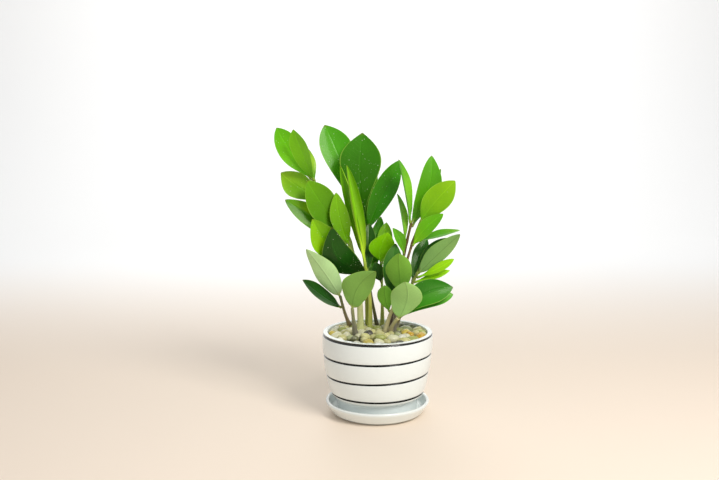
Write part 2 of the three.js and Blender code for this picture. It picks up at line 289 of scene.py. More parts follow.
def close_group(wires: Wires, results: dict[str, Socket]) -> bpy.types.NodeTree:
    """Ends a node group.

    Args:
        wires: The group's wires.
        results: Its outputs by name.

    Returns:
        Its tree.
    """
    sink = wires.tree.nodes.new("NodeGroupOutput")
    for title, socket in results.items():
        wires.tree.links.new(socket, sink.inputs[title])
    return wires.tree


def close_shapes(wires: Wires, shapes: Socket, skin: Socket) -> bpy.types.NodeTree:
    """Ends a geometry tree, whose shapes are made real and smooth and are dressed.

    Args:
        wires: The tree's wires.
        shapes: What it made.
        skin: The material.

    Returns:
        The tree.
    """
    solid = wires.add("GeometryNodeRealizeInstances", {"Geometry": shapes}).outputs["Geometry"]
    smooth = wires.add("GeometryNodeSetShadeSmooth", {"Geometry": solid}).outputs["Geometry"]
    dressed = wires.add("GeometryNodeSetMaterial", {"Geometry": smooth, "Material": skin})
    return close_group(wires, {"Shapes": dressed.outputs["Geometry"]})


FLOAT, VECTOR, COLOR = "NodeSocketFloat", "NodeSocketVector", "NodeSocketColor"
GEOMETRY, COUNT, MATERIAL = "NodeSocketGeometry", "NodeSocketInt", "NodeSocketMaterial"


def mottle_group() -> bpy.types.NodeTree:
    """Uneven colour: broad patches and fine grain that lighten and darken a colour.

    Returns:
        The group, which gives Color.
    """
    grain_share, middle = 0.4, 0.5
    inputs = {"Vector": VECTOR, "Color": COLOR, "Patch Scale": FLOAT, "Grain Scale": FLOAT, "Strength": FLOAT}
    wires, given = new_group("mottle", "ShaderNodeTree", inputs, {"Color": COLOR})
    patch = wires.noise(given["Vector"], given["Patch Scale"], detail=2.0)
    grain = wires.noise(given["Vector"], given["Grain Scale"], detail=4.0, roughness=0.6)
    blend = wires.scaled(grain, grain_share, wires.times(patch, 1 - grain_share))
    centred = wires.times(wires.math("SUBTRACT", blend, middle), given["Strength"])
    gain = wires.scaled(centred, 1 / middle, 1.0)
    grey = wires.add("ShaderNodeCombineColor", {0: gain, 1: gain, 2: gain}).outputs[0]
    return close_group(wires, {"Color": wires.multiply(given["Color"], grey)})


def speckle_group() -> bpy.types.NodeTree:
    """Small round spots of uneven size, scattered over a surface.

    Returns:
        The group, which gives Mask.
    """
    smallest, core = 0.3, 0.55
    inputs = {"Vector": VECTOR, "Scale": FLOAT, "Size": FLOAT, "Share": FLOAT}
    wires, given = new_group("speckle", "ShaderNodeTree", inputs, {"Mask": FLOAT})
    cells = wires.add("ShaderNodeTexVoronoi", {"Vector": given["Vector"], "Scale": given["Scale"]})
    draw = wires.add("ShaderNodeSeparateColor", {0: cells.outputs["Color"]})
    chosen = wires.math("LESS_THAN", draw.outputs[0], given["Share"])
    reach = wires.times(given["Size"], wires.scaled(draw.outputs[1], 1 - smallest, smallest))
    inside = wires.between(cells.outputs["Distance"], reach, wires.times(reach, core))
    return close_group(wires, {"Mask": wires.times(inside, chosen)})


def vein_group() -> bpy.types.NodeTree:
    """A leaflet's midrib and the faint side veins that leave it at a slant.

    Vector holds millimetres along the blade, millimetres across it, and the share of the way to the margin.

    Returns:
        The group, which gives Midrib and Veins.
    """
    core, slope, bend, wander_mm, half_vein_mm = 0.35, -1.25, 0.85, 5.0, 0.55
    inputs = {"Vector": VECTOR, "Rib Width": FLOAT, "Spacing": FLOAT}
    wires, given = new_group("veins", "ShaderNodeTree", inputs, {"Midrib": FLOAT, "Veins": FLOAT})
    along, across, _ = wires.add("ShaderNodeSeparateXYZ", {0: given["Vector"]}).outputs
    off = wires.math("ABSOLUTE", across)
    midrib = wires.between(off, given["Rib Width"], wires.times(given["Rib Width"], core))
    slant = wires.scaled(wires.math("POWER", off, bend), slope, along)
    wander = wires.noise(given["Vector"], 0.16, detail=1.0)
    track = wires.scaled(wander, wander_mm, slant)
    wave = wires.math("PINGPONG", track, wires.times(given["Spacing"], 0.5))
    return close_group(wires, {"Midrib": midrib, "Veins": wires.between(wave, half_vein_mm, 0.0)})


@dataclass
class Effects:
    """The shared shader node groups, built once."""

    mottle: bpy.types.NodeTree = field(default_factory=mottle_group)
    speckle: bpy.types.NodeTree = field(default_factory=speckle_group)
    veins: bpy.types.NodeTree = field(default_factory=vein_group)


class Surface:
    """One material: its Principled shader and the wires of its tree."""

    def __init__(self, name: str, effects: Effects, **sockets: object) -> None:
        """Starts a material.

        Args:
            name: The material's name.
            effects: The shared groups.
            **sockets: Values for the shader's own sockets, with spaces written as underscores.
        """
        self.material = bpy.data.materials.new(name)
        self.material.use_nodes = True
        self.effects = effects
        self.wires = Wires(self.material.node_tree)
        self.shader = self.material.node_tree.nodes["Principled BSDF"]
        for key, value in sockets.items():
            self.shader.inputs[key.replace("_", " ")].default_value = value
        self.position = self.wires.add("ShaderNodeTexCoord").outputs["Object"]

    def group(self, tree: bpy.types.NodeTree, **values: object) -> bpy.types.bpy_prop_collection:
        """Places a shared group and returns its outputs."""
        inputs = {key.replace("_", " "): value for key, value in values.items()}
        return self.wires.add("ShaderNodeGroup", inputs, node_tree=tree).outputs

    def mottled(
        self, color: object, patch: float, grain: float, strength: float, at: Socket | None = None
    ) -> Socket:
        """Makes a colour uneven.

        Args:
            color: The colour.
            patch: The scale of the broad patches.
            grain: The scale of the fine grain.
            strength: How much it lightens and darkens.
            at: Where the pattern is read, which is on the object's own places unless told.

        Returns:
            The uneven colour.
        """
        place = self.position if at is None else at
        values = {"Color": color, "Patch_Scale": patch, "Grain_Scale": grain, "Strength": strength}
        return self.group(self.effects.mottle, Vector=place, **values)["Color"]

    def speckled(self, scale: float, size: float, share: float, at: Socket | None = None) -> Socket:
        """A mask of small round spots, at the object's own places unless told."""
        place = self.position if at is None else at
        return self.group(self.effects.speckle, Vector=place, Scale=scale, Size=size, Share=share)["Mask"]

    def uneven(self, smoothest: float, scale: float, spread: float, detail: float = 3.0) -> Socket:
        """A roughness that varies over the surface."""
        return self.wires.scaled(self.wires.noise(self.position, scale, detail), spread, smoothest)

    def read(self, name: str, output: str) -> Socket:
        """The values of an attribute of the mesh."""
        return self.wires.add("ShaderNodeAttribute", attribute_name=name).outputs[output]

    def bump(self, height: Socket, depth_mm: float, normal: Socket | None = None) -> Socket:
        """Bumps the surface.

        Args:
            height: The height, from 0 to 1.
            depth_mm: How deep that is.
            normal: A normal that is bumped already.

        Returns:
            The normal.
        """
        values = {"Height": height, "Distance": depth_mm * MM}
        if normal is not None:
            values["Normal"] = normal
        return self.wires.add("ShaderNodeBump", values).outputs["Normal"]

    def dents(self, mask: Socket, depth_mm: float, normal: Socket) -> Socket:
        """A normal dented where a mask says."""
        return self.bump(self.wires.math("SUBTRACT", 1.0, mask), depth_mm, normal)

    def finish(self, color: Socket, roughness: object, normal: Socket) -> bpy.types.Material:
        """Feeds the shader.

        Args:
            color: Its base colour.
            roughness: Its roughness.
            normal: Its normal.

        Returns:
            The material.
        """
        for name, value in (("Base Color", color), ("Roughness", roughness), ("Normal", normal)):
            self.wires.feed(self.shader.inputs[name], value)
        return self.material


# ------------------------------------------------------------------ finishes


@dataclass(frozen=True)
class GlazeFinish:
    """White glaze, thick and slightly wavy, thin at its edges, with dark hand-drawn lines on the pot."""

    white: str = "e9f0ee"
    warm: str = "dfdccf"
    dark: str = "0d120d"
    smoothest: float = 0.12
    thin_share: float = 0.55
    pore_share: float = 0.35
    wave_mm: float = 0.05
    pore_mm: float = 0.04
    half_line_mm: float = 0.8
    swell_mm: float = 0.5
    ragged_mm: float = 0.22
    fade_out_mm: float = 0.12
    fade_in_mm: float = 0.08

    def material(self, name: str, effects: Effects, lined: bool) -> bpy.types.Material:
        """Builds the glaze.

        Args:
            name: The material's name.
            effects: The shared groups.
            lined: Whether the piece has the dark lines.

        Returns:
            The material.
        """
        look = Surface(name, effects, IOR=1.5, Coat_Weight=0.5, Coat_Roughness=0.06)
        wires, warm = look.wires, linear(self.warm)
        tone = look.mottled(linear(self.white), patch=28.0, grain=420.0, strength=0.035)
        pores = look.speckled(scale=210.0, size=0.16, share=0.05)
        color = wires.overlay(look.read("thin", "Fac"), self.thin_share, tone, warm)
        color = wires.overlay(pores, self.pore_share, color, warm)
        normal = look.bump(wires.noise(look.position, 55.0, detail=2.0), self.wave_mm)
        normal = look.dents(pores, self.pore_mm, normal)
        roughness = look.uneven(self.smoothest, scale=90.0, spread=0.1)
        if lined:
            ink = self.ink(look)
            color = wires.mix(ink, color, linear(self.dark))
            roughness = wires.scaled(ink, 0.1, roughness)
        return look.finish(color, roughness, normal)

    def ink(self, look: Surface) -> Socket:
        """Masks the lines, which swell and fray a little.

        Args:
            look: The glaze, whose `line_mm` is how far off a line a point lies.

        Returns:
            1 on a line and 0 off it.
        """
        wires = look.wires
        edge = wires.noise(look.position, 260.0)
        swell = wires.noise(look.position, 22.0, detail=1.0)
        limit = wires.scaled(swell, self.swell_mm, self.half_line_mm)
        limit = wires.scaled(edge, self.ragged_mm, limit)
        outside = wires.math("ADD", limit, self.fade_out_mm)
        inside = wires.math("SUBTRACT", limit, self.fade_in_mm)
        return wires.between(look.read("line_mm", "Fac"), outside, inside)


@dataclass(frozen=True)
class BladeFinish:
    """The skin of one side of a leaflet, which takes its colours from the `tint` of each point.

    The upper side is waxy and glossy, with, where `wet` says, fine drops whose pale colour is a painted
    glint.
    The underside is matt and shows its midrib as a thin darker line. Both sides have a painted highlight
    along their margin.
    """

    smoothest: float
    gloss: float
    edge_highlight_share: float
    rib_mm: float
    rib_gain: float
    vein_mm: float
    drops: bool
    vein_spacing_mm: float = 4.6
    vein_gain: Color = (1.45, 1.3, 1.2, 1.0)
    vein_share: float = 0.16
    rib_share: float = 0.75
    # The colour of the painted highlight along the blade's margin.
    margin: str = "b4dc5a"
    pore_mm: float = 0.07
    # The pale colour of the drops is a painted glint.
    drop: str = "dff0c4"
    drop_glint_share: float = 0.5
    drop_mm: float = 0.22

    def material(self, name: str, effects: Effects) -> bpy.types.Material:
        """Builds the skin.

        Args:
            name: The material's name.
            effects: The shared groups.

        Returns:
            The material.
        """
        look = Surface(
            name, effects, IOR=1.4, Specular_IOR_Level=0.4, Coat_Weight=self.gloss, Coat_Roughness=0.12,
            Specular_Tint=(0.9, 1.0, 0.5, 1.0),
        )
        wires, blade = look.wires, look.read("blade", "Vector")
        side = wires.add("ShaderNodeSeparateXYZ", {0: blade}).outputs[2]
        tone = look.mottled(look.read("tint", "Color"), patch=75.0, grain=900.0, strength=0.16)
        ribs = look.group(effects.veins, Vector=blade, Rib_Width=self.rib_mm, Spacing=self.vein_spacing_mm)
        color = wires.overlay(ribs["Veins"], self.vein_share, tone, wires.multiply(tone, self.vein_gain))
        rib = wires.multiply(tone, (self.rib_gain, self.rib_gain, self.rib_gain, 1.0))
        color = wires.overlay(ribs["Midrib"], self.rib_share, color, rib)
        # A painted highlight along the margin, on both sides of the blade.
        color = wires.overlay(wires.between(side, 0.93, 0.995), self.edge_highlight_share, color, linear(self.margin))
        normal = look.bump(wires.times(ribs["Veins"], -1.0), self.vein_mm)
        normal = look.bump(wires.noise(look.position, 260.0), self.pore_mm, normal)
        roughness = look.uneven(self.smoothest, scale=120.0, spread=0.16, detail=2.0)
        if self.drops:
            wet = wires.times(look.speckled(scale=420.0, size=0.3, share=0.4), look.read("wet", "Fac"))
            # The drops are bumped and smoother, which is real, and painted pale, which is a painted glint.
            color = wires.overlay(wet, self.drop_glint_share, color, linear(self.drop))
            roughness = wires.scaled(wet, -0.12, roughness)
            normal = look.bump(wet, self.drop_mm, normal)
        return look.finish(color, roughness, normal)


UPPER_SKIN = BladeFinish(0.32, 0.12, edge_highlight_share=0.45, rib_mm=0.5, rib_gain=1.25, vein_mm=0.06, drops=True)
UNDER_SKIN = BladeFinish(0.52, 0.0, edge_highlight_share=0.35, rib_mm=0.42, rib_gain=0.62, vein_mm=0.05, drops=False)


@dataclass(frozen=True)
class StemFinish:
    """Smooth, satin skin of the stems, with fine lengthwise streaks and dark flecks."""

    smoothest: float = 0.35
    fleck: str = "3c3a22"
    fleck_share: float = 0.45
    streak_mm: float = 0.12

    def material(self, effects: Effects) -> bpy.types.Material:
        """Builds the skin.

        Args:
            effects: The shared groups.

        Returns:
            The material.
        """
        look = Surface("stem_skin", effects, Coat_Weight=0.15, Coat_Roughness=0.25)
        wires = look.wires
        stretched = {"Vector": look.position, "Scale": (1.0, 1.0, 0.12)}
        streaks = wires.add("ShaderNodeMapping", stretched).outputs[0]
        tone = look.mottled(look.read("tint", "Color"), patch=420.0, grain=1600.0, strength=0.3, at=streaks)
        flecks = look.speckled(scale=900.0, size=0.3, share=0.2, at=streaks)
        color = wires.overlay(flecks, self.fleck_share, tone, linear(self.fleck))
        normal = look.bump(wires.noise(streaks, 1500.0, detail=2.0), self.streak_mm)
        return look.finish(color, look.uneven(self.smoothest, scale=200.0, spread=0.15), normal)


@dataclass(frozen=True)
class PebbleFinish:
    """Washed, faintly waxy stones, each with its own tint, cloudy bands and small pits."""

    roughness: float = 0.34
    cloud: str = "e6e3cc"
    cloud_share: float = 0.16
    pit: str = "8a7c4c"
    pit_share: float = 0.4
    pit_mm: float = 0.12
    grain_mm: float = 0.35

    def material(self, effects: Effects) -> bpy.types.Material:
        """Builds the stone.

        Args:
            effects: The shared groups.

        Returns:
            The material.
        """
        look = Surface("washed_stone", effects, Coat_Weight=0.15, Coat_Roughness=0.15, IOR=1.45)
        wires = look.wires
        tone = look.mottled(look.read("tint", "Color"), patch=170.0, grain=800.0, strength=0.32)
        pits = look.speckled(scale=700.0, size=0.35, share=0.22)
        cloud = wires.between(wires.noise(look.position, 240.0, detail=5.0, roughness=0.65), 0.5, 0.68)
        color = wires.overlay(cloud, self.cloud_share, tone, linear(self.cloud))
        color = wires.overlay(pits, self.pit_share, color, linear(self.pit))
        normal = look.bump(wires.noise(look.position, 420.0, detail=5.0, roughness=0.6), self.grain_mm)
        normal = look.dents(pits, self.pit_mm, normal)
        return look.finish(color, wires.scaled(cloud, 0.2, self.roughness), normal)


@dataclass(frozen=True)
class EarthFinish:
    """Dark, crumbly potting soil or rough root skin."""

    color: str
    strength: float = 0.8
    roughness: float = 0.92
    crumb_mm: float = 1.0

    def material(self, name: str, effects: Effects) -> bpy.types.Material:
        """Builds the earth or root.

        Args:
            name: The material's name.
            effects: The shared groups.

        Returns:
            The material.
        """
        look = Surface(name, effects)
        crumbs = look.wires.noise(look.position, 380.0, detail=6.0, roughness=0.7)
        tone = look.mottled(linear(self.color), patch=90.0, grain=700.0, strength=self.strength)
        return look.finish(tone, self.roughness, look.bump(crumbs, self.crumb_mm))


# ------------------------------------------------------------------ turned ware


Corner = tuple[float, float, float]


def rounded(corners: Sequence[Corner], steps: int = 7) -> list[tuple[float, float]]:
    """Rounds the corners of a profile.

    Args:
        corners: Radius, height and the corner's own radius, in millimetres.
        steps: Points on each rounded corner.

    Returns:
        The profile's points, in millimetres.
    """
    points: list[tuple[float, float]] = []
    for index, (r, z, size) in enumerate(corners):
        here = np.array([r, z])
        if size == 0 or index in (0, len(corners) - 1):
            points.append((r, z))
            continue
        before = np.array(corners[index - 1][:2]) - here
        after = np.array(corners[index + 1][:2]) - here
        half = math.acos(float(np.clip(unit(before) @ unit(after), -1, 1))) / 2
        reach = min(size / math.tan(half), 0.49 * np.linalg.norm(before), 0.49 * np.linalg.norm(after))
        start, end = here + unit(before) * reach, here + unit(after) * reach
        for share in np.linspace(0, 1, steps):
            point = (1 - share) ** 2 * start + 2 * share * (1 - share) * here + share**2 * end
            points.append((float(point[0]), float(point[1])))
    return points


def spaced(profile: Sequence[tuple[float, float]], step_mm: float) -> np.ndarray:
    """Adds points along a profile.

    Args:
        profile: Its corners.
        step_mm: How far apart two points may lie at most.

    Returns:
        The points.
    """
    points = [np.array(profile[0])]
    for end in map(np.array, profile[1:]):
        count = max(1, math.ceil(float(np.linalg.norm(end - points[-1])) / step_mm))
        start = points[-1]
        points += [start + (end - start) * (i + 1) / count for i in range(count)]
    return np.array(points)


def turned_faces(rows: int, segments: int, closed: bool) -> list[tuple[int, ...]]:
    """The faces of a turned mesh.

    Args:
        rows: Rings of points.
        segments: Points on each ring.
        closed: Whether the last ring joins the first.

    Returns:
        The faces, which point outwards when the profile runs up the outside.
    """
    faces = []
    for row in range(rows if closed else rows - 1):
        above = (row + 1) % rows
        for i in range(segments):
            j = (i + 1) % segments
            faces.append((row * segments + i, row * segments + j, above * segments + j, above * segments + i))
    return faces


def capped_faces(rows: int, segments: int) -> list[tuple[int, ...]]:
    """The faces of a turned mesh that closes on a point at each end.

    Args:
        rows: Rings of points, which come before the two end points.
        segments: Points on each ring.

    Returns:
        The faces, which point outwards when the profile runs up the outside.
    """
    faces = turned_faces(rows, segments, closed=False)
    first, last = rows * segments, (rows - 1) * segments
    for i in range(segments):
        j = (i + 1) % segments
        faces += [(first, j, i), (first + 1, last + i, last + j)]
    return faces


def circle(segments: int) -> np.ndarray:
    """The angles of points spread evenly round a circle."""
    return np.arange(segments) / segments * 2 * np.pi


def ring_points(radii: np.ndarray, heights: np.ndarray, turn: np.ndarray) -> np.ndarray:
    """The points of rings round the upright axis, ring by ring."""
    parts = np.broadcast_arrays(radii * np.cos(turn), radii * np.sin(turn), heights)
    return np.stack(parts, -1).reshape(-1, 3)


@dataclass
class Pot:
    """The turned pot with its bulging bands, and a dark line drawn in the groove between them."""

    segments: int = 200
    foot_height_mm: float = 17.0
    shoulder_mm: float = 50.4
    foot_mm: float = 43.0
    foot_ring_mm: float = 5.0
    recess_mm: float = 2.0
    floor_mm: float = 5.0
    wall_mm: float = 5.0
    drain_mm: float = 7.0
    line_count: int = 4
    top_line_below_mm: float = 1.9
    low_line_above_foot_mm: float = 4.2
    lip_mm: float = 1.6
    curve: float = 2.2
    bulge_mm: float = 1.0
    band_fullness: float = 0.62
    groove_mm: float = 0.95
    half_groove_mm: float = 0.95
    tilts_mm: tuple[float, ...] = (0.4, 2.0, 1.3, 0.5)
    wobbles_mm: tuple[float, float] = (0.12, 0.08)
    inset_mm: float = 0.2
    step_mm: float = 1.6
    band_step_mm: float = 0.22
    unlined_mm: float = 9.0

    def __post_init__(self) -> None:
        """Takes the pot's outer sizes from the frame."""
        low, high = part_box("pot")
        self.base, self.rim = low.z / MM, high.z / MM
        self.rim_radius = high.x / MM - self.bulge_mm
        self.under = self.base + self.recess_mm
        self.floor = self.under + self.floor_mm
        self.shoulder = self.base + self.foot_height_mm
        self.low_line = self.shoulder + self.low_line_above_foot_mm
        self.top_line = self.rim - self.top_line_below_mm
        self.lines = np.linspace(self.low_line, self.top_line, self.line_count)

    def body_radius(self, z: np.ndarray) -> np.ndarray:
        """Radius of the body at a height, without bands and grooves."""
        share = np.clip((z - self.low_line) / (self.top_line - self.low_line), 0, 1)
        return self.rim_radius + (self.shoulder_mm - self.rim_radius) * (1 - share) ** self.curve

    def inside_radius(self, z: float) -> float:
        """Finds how wide the pot is inside.

        Args:
            z: The height, in millimetres.

        Returns:
            The radius there.
        """
        share = min(1.0, max(0.0, (self.low_line - z) / (self.low_line - self.floor)))
        outer = float(self.body_radius(np.array(z)))
        return outer + (self.foot_mm - outer) * share - self.wall_mm

    def bands(self) -> np.ndarray:
        """Draws the stretch of the outside that holds the swelling bands and the grooves.

        Returns:
            Its points, as radii and heights.
        """
        heights = np.arange(self.low_line - 1.0, self.top_line + 0.9, self.band_step_mm)
        share = np.interp(heights, self.lines, np.arange(self.line_count)) % 1.0
        off = np.abs(heights[:, None] - self.lines).min(1)
        swell = self.bulge_mm * np.sin(np.pi * share**self.band_fullness) ** 0.5
        grooves = self.groove_mm * np.exp(-((off / self.half_groove_mm) ** 4))
        return np.column_stack([self.body_radius(heights) + swell - grooves, heights])

    def profile(self) -> np.ndarray:
        """Draws the section of the pot, up its outside and down its inside.

        Returns:
            Its points in millimetres, of which the last joins the first.
        """
        rim, foot, under, shoulder = self.rim, self.foot_mm, self.under, self.shoulder
        outside = rounded([
            (self.drain_mm, under, 0), (foot - self.foot_ring_mm, under, 0.8),
            (foot - self.foot_ring_mm, self.base, 0.8), (foot, self.base, 1.2),
            (foot + 0.6, shoulder - 2.4, 2.5), (self.shoulder_mm - 2.0, shoulder, 2.2),
            (self.shoulder_mm, self.low_line - 1.2, 0),
        ])
        bands, inner_rim = self.bands(), rim - self.lip_mm
        inner = [(self.inside_radius(z), z, 4.0) for z in (inner_rim, *self.lines[-2::-1], self.floor)]
        inside = rounded([
            (*bands[-1], 0), (self.rim_radius - 0.1, rim, 1.1),
            (self.inside_radius(inner_rim) + 0.1, rim, 1.6), *inner,
            (self.drain_mm, self.floor, 1.5), (self.drain_mm, under, 0),
        ])
        return np.vstack([spaced(outside, self.step_mm), bands, spaced(inside[1:], self.step_mm)[:-1]])

    def build(self, glaze: bpy.types.Material) -> bpy.types.Object:
        """Builds the pot.

        Args:
            glaze: The lined glaze.

        Returns:
            The piece.
        """
        section, turn = self.profile(), circle(self.segments)
        radii, heights = section.T
        outer = radii > self.body_radius(heights) - 0.6 * self.wall_mm
        off = np.abs(heights[:, None] - self.lines).min(1)
        lean = np.interp(heights, [self.base, *self.lines, self.rim], [0.0, *self.tilts_mm, 0.0])
        lean = lean * (heights < self.rim - 1.0)
        oval, ripple = self.wobbles_mm
        wobble = oval * np.sin(2 * turn + 0.6) + ripple * np.sin(5 * turn + 2.0)
        wide = radii[:, None] + np.where(outer, 1.0, 0.4)[:, None] * wobble - self.inset_mm
        points = ring_points(wide, heights[:, None] + lean[:, None] * np.cos(turn), turn)
        mesh = mesh_from("pot_glazed", points * MM, turned_faces(len(section), self.segments, closed=True))
        bend = np.abs(np.gradient(np.gradient(section, axis=0), axis=0)).sum(1)
        thin = np.where(outer, ramp(bend, 0.25, 1.0), 0.0) * 0.5
        line = np.where(outer, off, self.unlined_mm)
        for name, values in (("line_mm", line), ("thin", thin)):
            set_attribute(mesh, name, Stored.NUMBER, np.repeat(values, self.segments))
        mesh.materials.append(glaze)
        return add_piece("pot_glazed", mesh, ["pot"])


@dataclass
class Saucer:
    """The turned saucer with its thick rounded lip."""

    segments: int = 180
    floor_mm: float = 4.0
    well_mm: float = 48.6
    base_mm: float = 44.0
    lip_mm: float = 3.4
    hole_mm: float = 0.6
    inset_mm: float = 0.1
    step_mm: float = 1.5

    def build(self, glaze: bpy.types.Material) -> bpy.types.Object:
        """Builds the saucer.

        Args:
            glaze: The plain glaze.

        Returns:
            The piece.
        """
        _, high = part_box("saucer")
        rim, top = high.x / MM, high.z / MM
        profile = rounded([
            (self.hole_mm, 0.0, 0), (self.base_mm, 0.0, 1.0), (self.base_mm + 5.6, top * 0.2, 3.0),
            (rim - 0.6, top - self.lip_mm, 3.0), (rim, top - 1.2, 1.6), (rim - 1.3, top, 1.4),
            (rim - self.lip_mm, top - 0.8, 1.6), (self.well_mm + 1.4, self.floor_mm + 2.0, 2.5),
            (self.well_mm - 1.0, self.floor_mm, 2.0), (self.hole_mm, self.floor_mm, 0),
        ])
        section, turn = spaced(profile, self.step_mm), circle(self.segments)
        radii = section[:, :1] * (1.0 + 0.0015 * np.sin(3 * turn + 1.0)) - self.inset_mm
        points = np.vstack([ring_points(radii, section[:, 1:], turn), [0, 0, 0], [0, 0, self.floor_mm]])
        mesh = mesh_from("saucer_glazed", points * MM, capped_faces(len(section), self.segments))
        lip = ramp(section[:, 1], top - 1.2, top - 0.2) * 0.6
        set_attribute(mesh, "thin", Stored.NUMBER, np.append(np.repeat(lip, self.segments), [0, 0]))
        mesh.materials.append(glaze)
        return add_piece("saucer_glazed", mesh, ["saucer"])


# ------------------------------------------------------------------ reading the plain solids


FAN_SIDES = 8
WELD_MM = 0.002


class Ladder:
    """The rings of points of a lofted solid, in order from its end fan to its start fan."""

    def __init__(self, node: str, tip_first: bool) -> None:
        """Reads a node.

        Args:
            node: The node's name.
            tip_first: Whether the end is the sharpest fan (a leaflet's tip) and not the highest one.
        """
        copy = bmesh.new()
        copy.from_mesh(frame["nodes"][node].data)
        bmesh.ops.remove_doubles(copy, verts=copy.verts, dist=WELD_MM * MM)
        copy.verts.ensure_lookup_table()
        places = np.array([v.co for v in copy.verts]) / MM
        beside = [[e.other_vert(v).index for e in v.link_edges] for v in copy.verts]
        copy.free()
        fans = [i for i, near in enumerate(beside) if self.closed_fan(near, beside)]
        sharpness = {i: np.linalg.norm(places[beside[i]].mean(0) - places[i]) for i in fans}
        end = max(fans, key=sharpness.get if tip_first else lambda i: places[i][2])
        seen, layer = {end}, [end]
        self.rings: list[np.ndarray] = []
        while layer:
            self.rings.append(places[layer])
            layer = sorted({j for i in layer for j in beside[i]} - seen)
            seen.update(layer)

    @staticmethod
    def closed_fan(near: list[int], beside: list[list[int]]) -> bool:
        """Whether a vertex is the middle of a fan, whose neighbours are each joined to two of the others."""
        return len(near) == FAN_SIDES and all(len(set(beside[i]) & set(near)) == 2 for i in near)


WIDEST_TRIED = (0.34, 0.8, 0.01)
OUTLINE_FULLNESS = 0.72


@dataclass
class Blade:
    """The lines of one leaflet, in millimetres, read from its plain solid."""

    node: str
    rows_by_stalk: int = 2

    def __post_init__(self) -> None:
        """Finds the leaflet's midrib, its sides, its width and where it is widest."""
        rings = Ladder(self.node, tip_first=True).rings
        self.tip = rings[0][0]
        blades = rings[1:-1][::-1]
        self.start = blades[0].mean(0)
        self.span = float(np.linalg.norm(self.tip - self.start))
        self.chord = (self.tip - self.start) / self.span
        middles, lifts, halves = map(np.array, zip(*map(self.read_ring, blades[self.rows_by_stalk :])))
        self.up = unit(lifts.sum(0))
        self.up = unit(self.up - self.chord * (self.up @ self.chord))
        self.side = np.cross(self.chord, self.up)
        shares = (middles - self.start) @ self.chord / self.span
        weights = shares * (1 - shares)
        offsets = middles - self.start - shares[:, None] * self.span * self.chord
        self.bow = (weights[:, None] * offsets).sum(0) / (weights**2).sum()
        self.widest, self.half = self.fit_outline(shares, halves)

    @staticmethod
    def read_ring(ring: np.ndarray) -> tuple[np.ndarray, np.ndarray, float]:
        """Reads a ring of a leaflet.

        Args:
            ring: Its points.

        Returns:
            Its middle, its lift towards the upper side and half its width.
        """
        gaps = np.linalg.norm(ring[:, None] - ring[None, :], axis=2)
        left, right = np.unravel_index(gaps.argmax(), gaps.shape)
        side = unit(ring[right] - ring[left])
        centre = (ring[left] + ring[right]) / 2
        rest = [i for i in range(len(ring)) if i not in (left, right)]
        rest.sort(key=lambda i: abs((ring[i] - centre) @ side))
        middle = ring[rest[:2]].mean(0)
        return middle, centre - middle, float(gaps.max()) / 2

    @staticmethod
    def fit_outline(shares: np.ndarray, halves: np.ndarray) -> tuple[float, float]:
        """Finds the outline that fits the measured half widths best.

        Args:
            shares: Where the widths were taken.
            halves: The half widths.

        Returns:
            The share of the length at which it is widest, and its half width there.
        """
        best = (math.inf, 0.5, 1.0)
        for widest in np.arange(*WIDEST_TRIED):
            shape = outline(shares, widest)
            half = float(shape @ halves / (shape @ shape))
            best = min(best, (float(((shape * half - halves) ** 2).sum()), float(widest), half))
        return best[1], best[2]


def outline(share: np.ndarray, widest: float) -> np.ndarray:
    """How wide a leaflet is at a share of its length, as a share of its greatest width."""
    power = math.log(0.5) / math.log(widest)
    return np.sin(np.pi * np.clip(share, 0, 1) ** power) ** OUTLINE_FULLNESS


# ------------------------------------------------------------------ leaflets


@dataclass(frozen=True)
class Tint:
    """The colours of a leaflet, as hex digits, and how it differs from a plain one.

    `top` is its upper side, `base` and `tip` its ends, `half` the half on its right where that differs, and
    `under` its underside. `half` is painted light and shade: one half of the folded blade is made lighter or
    darker as the light falls on it. `roll` is how far it curls towards its upper side, in radians, `wet` how
    strongly its drops show and `dry_tip` how brown the end of its tip is.
    """

    top: str
    base: str = ""
    tip: str = ""
    half: str = ""
    under: str = "86b35c"
    roll: float = 0.35
    wet: float = 0.15
    dry_tip: float = 0.5


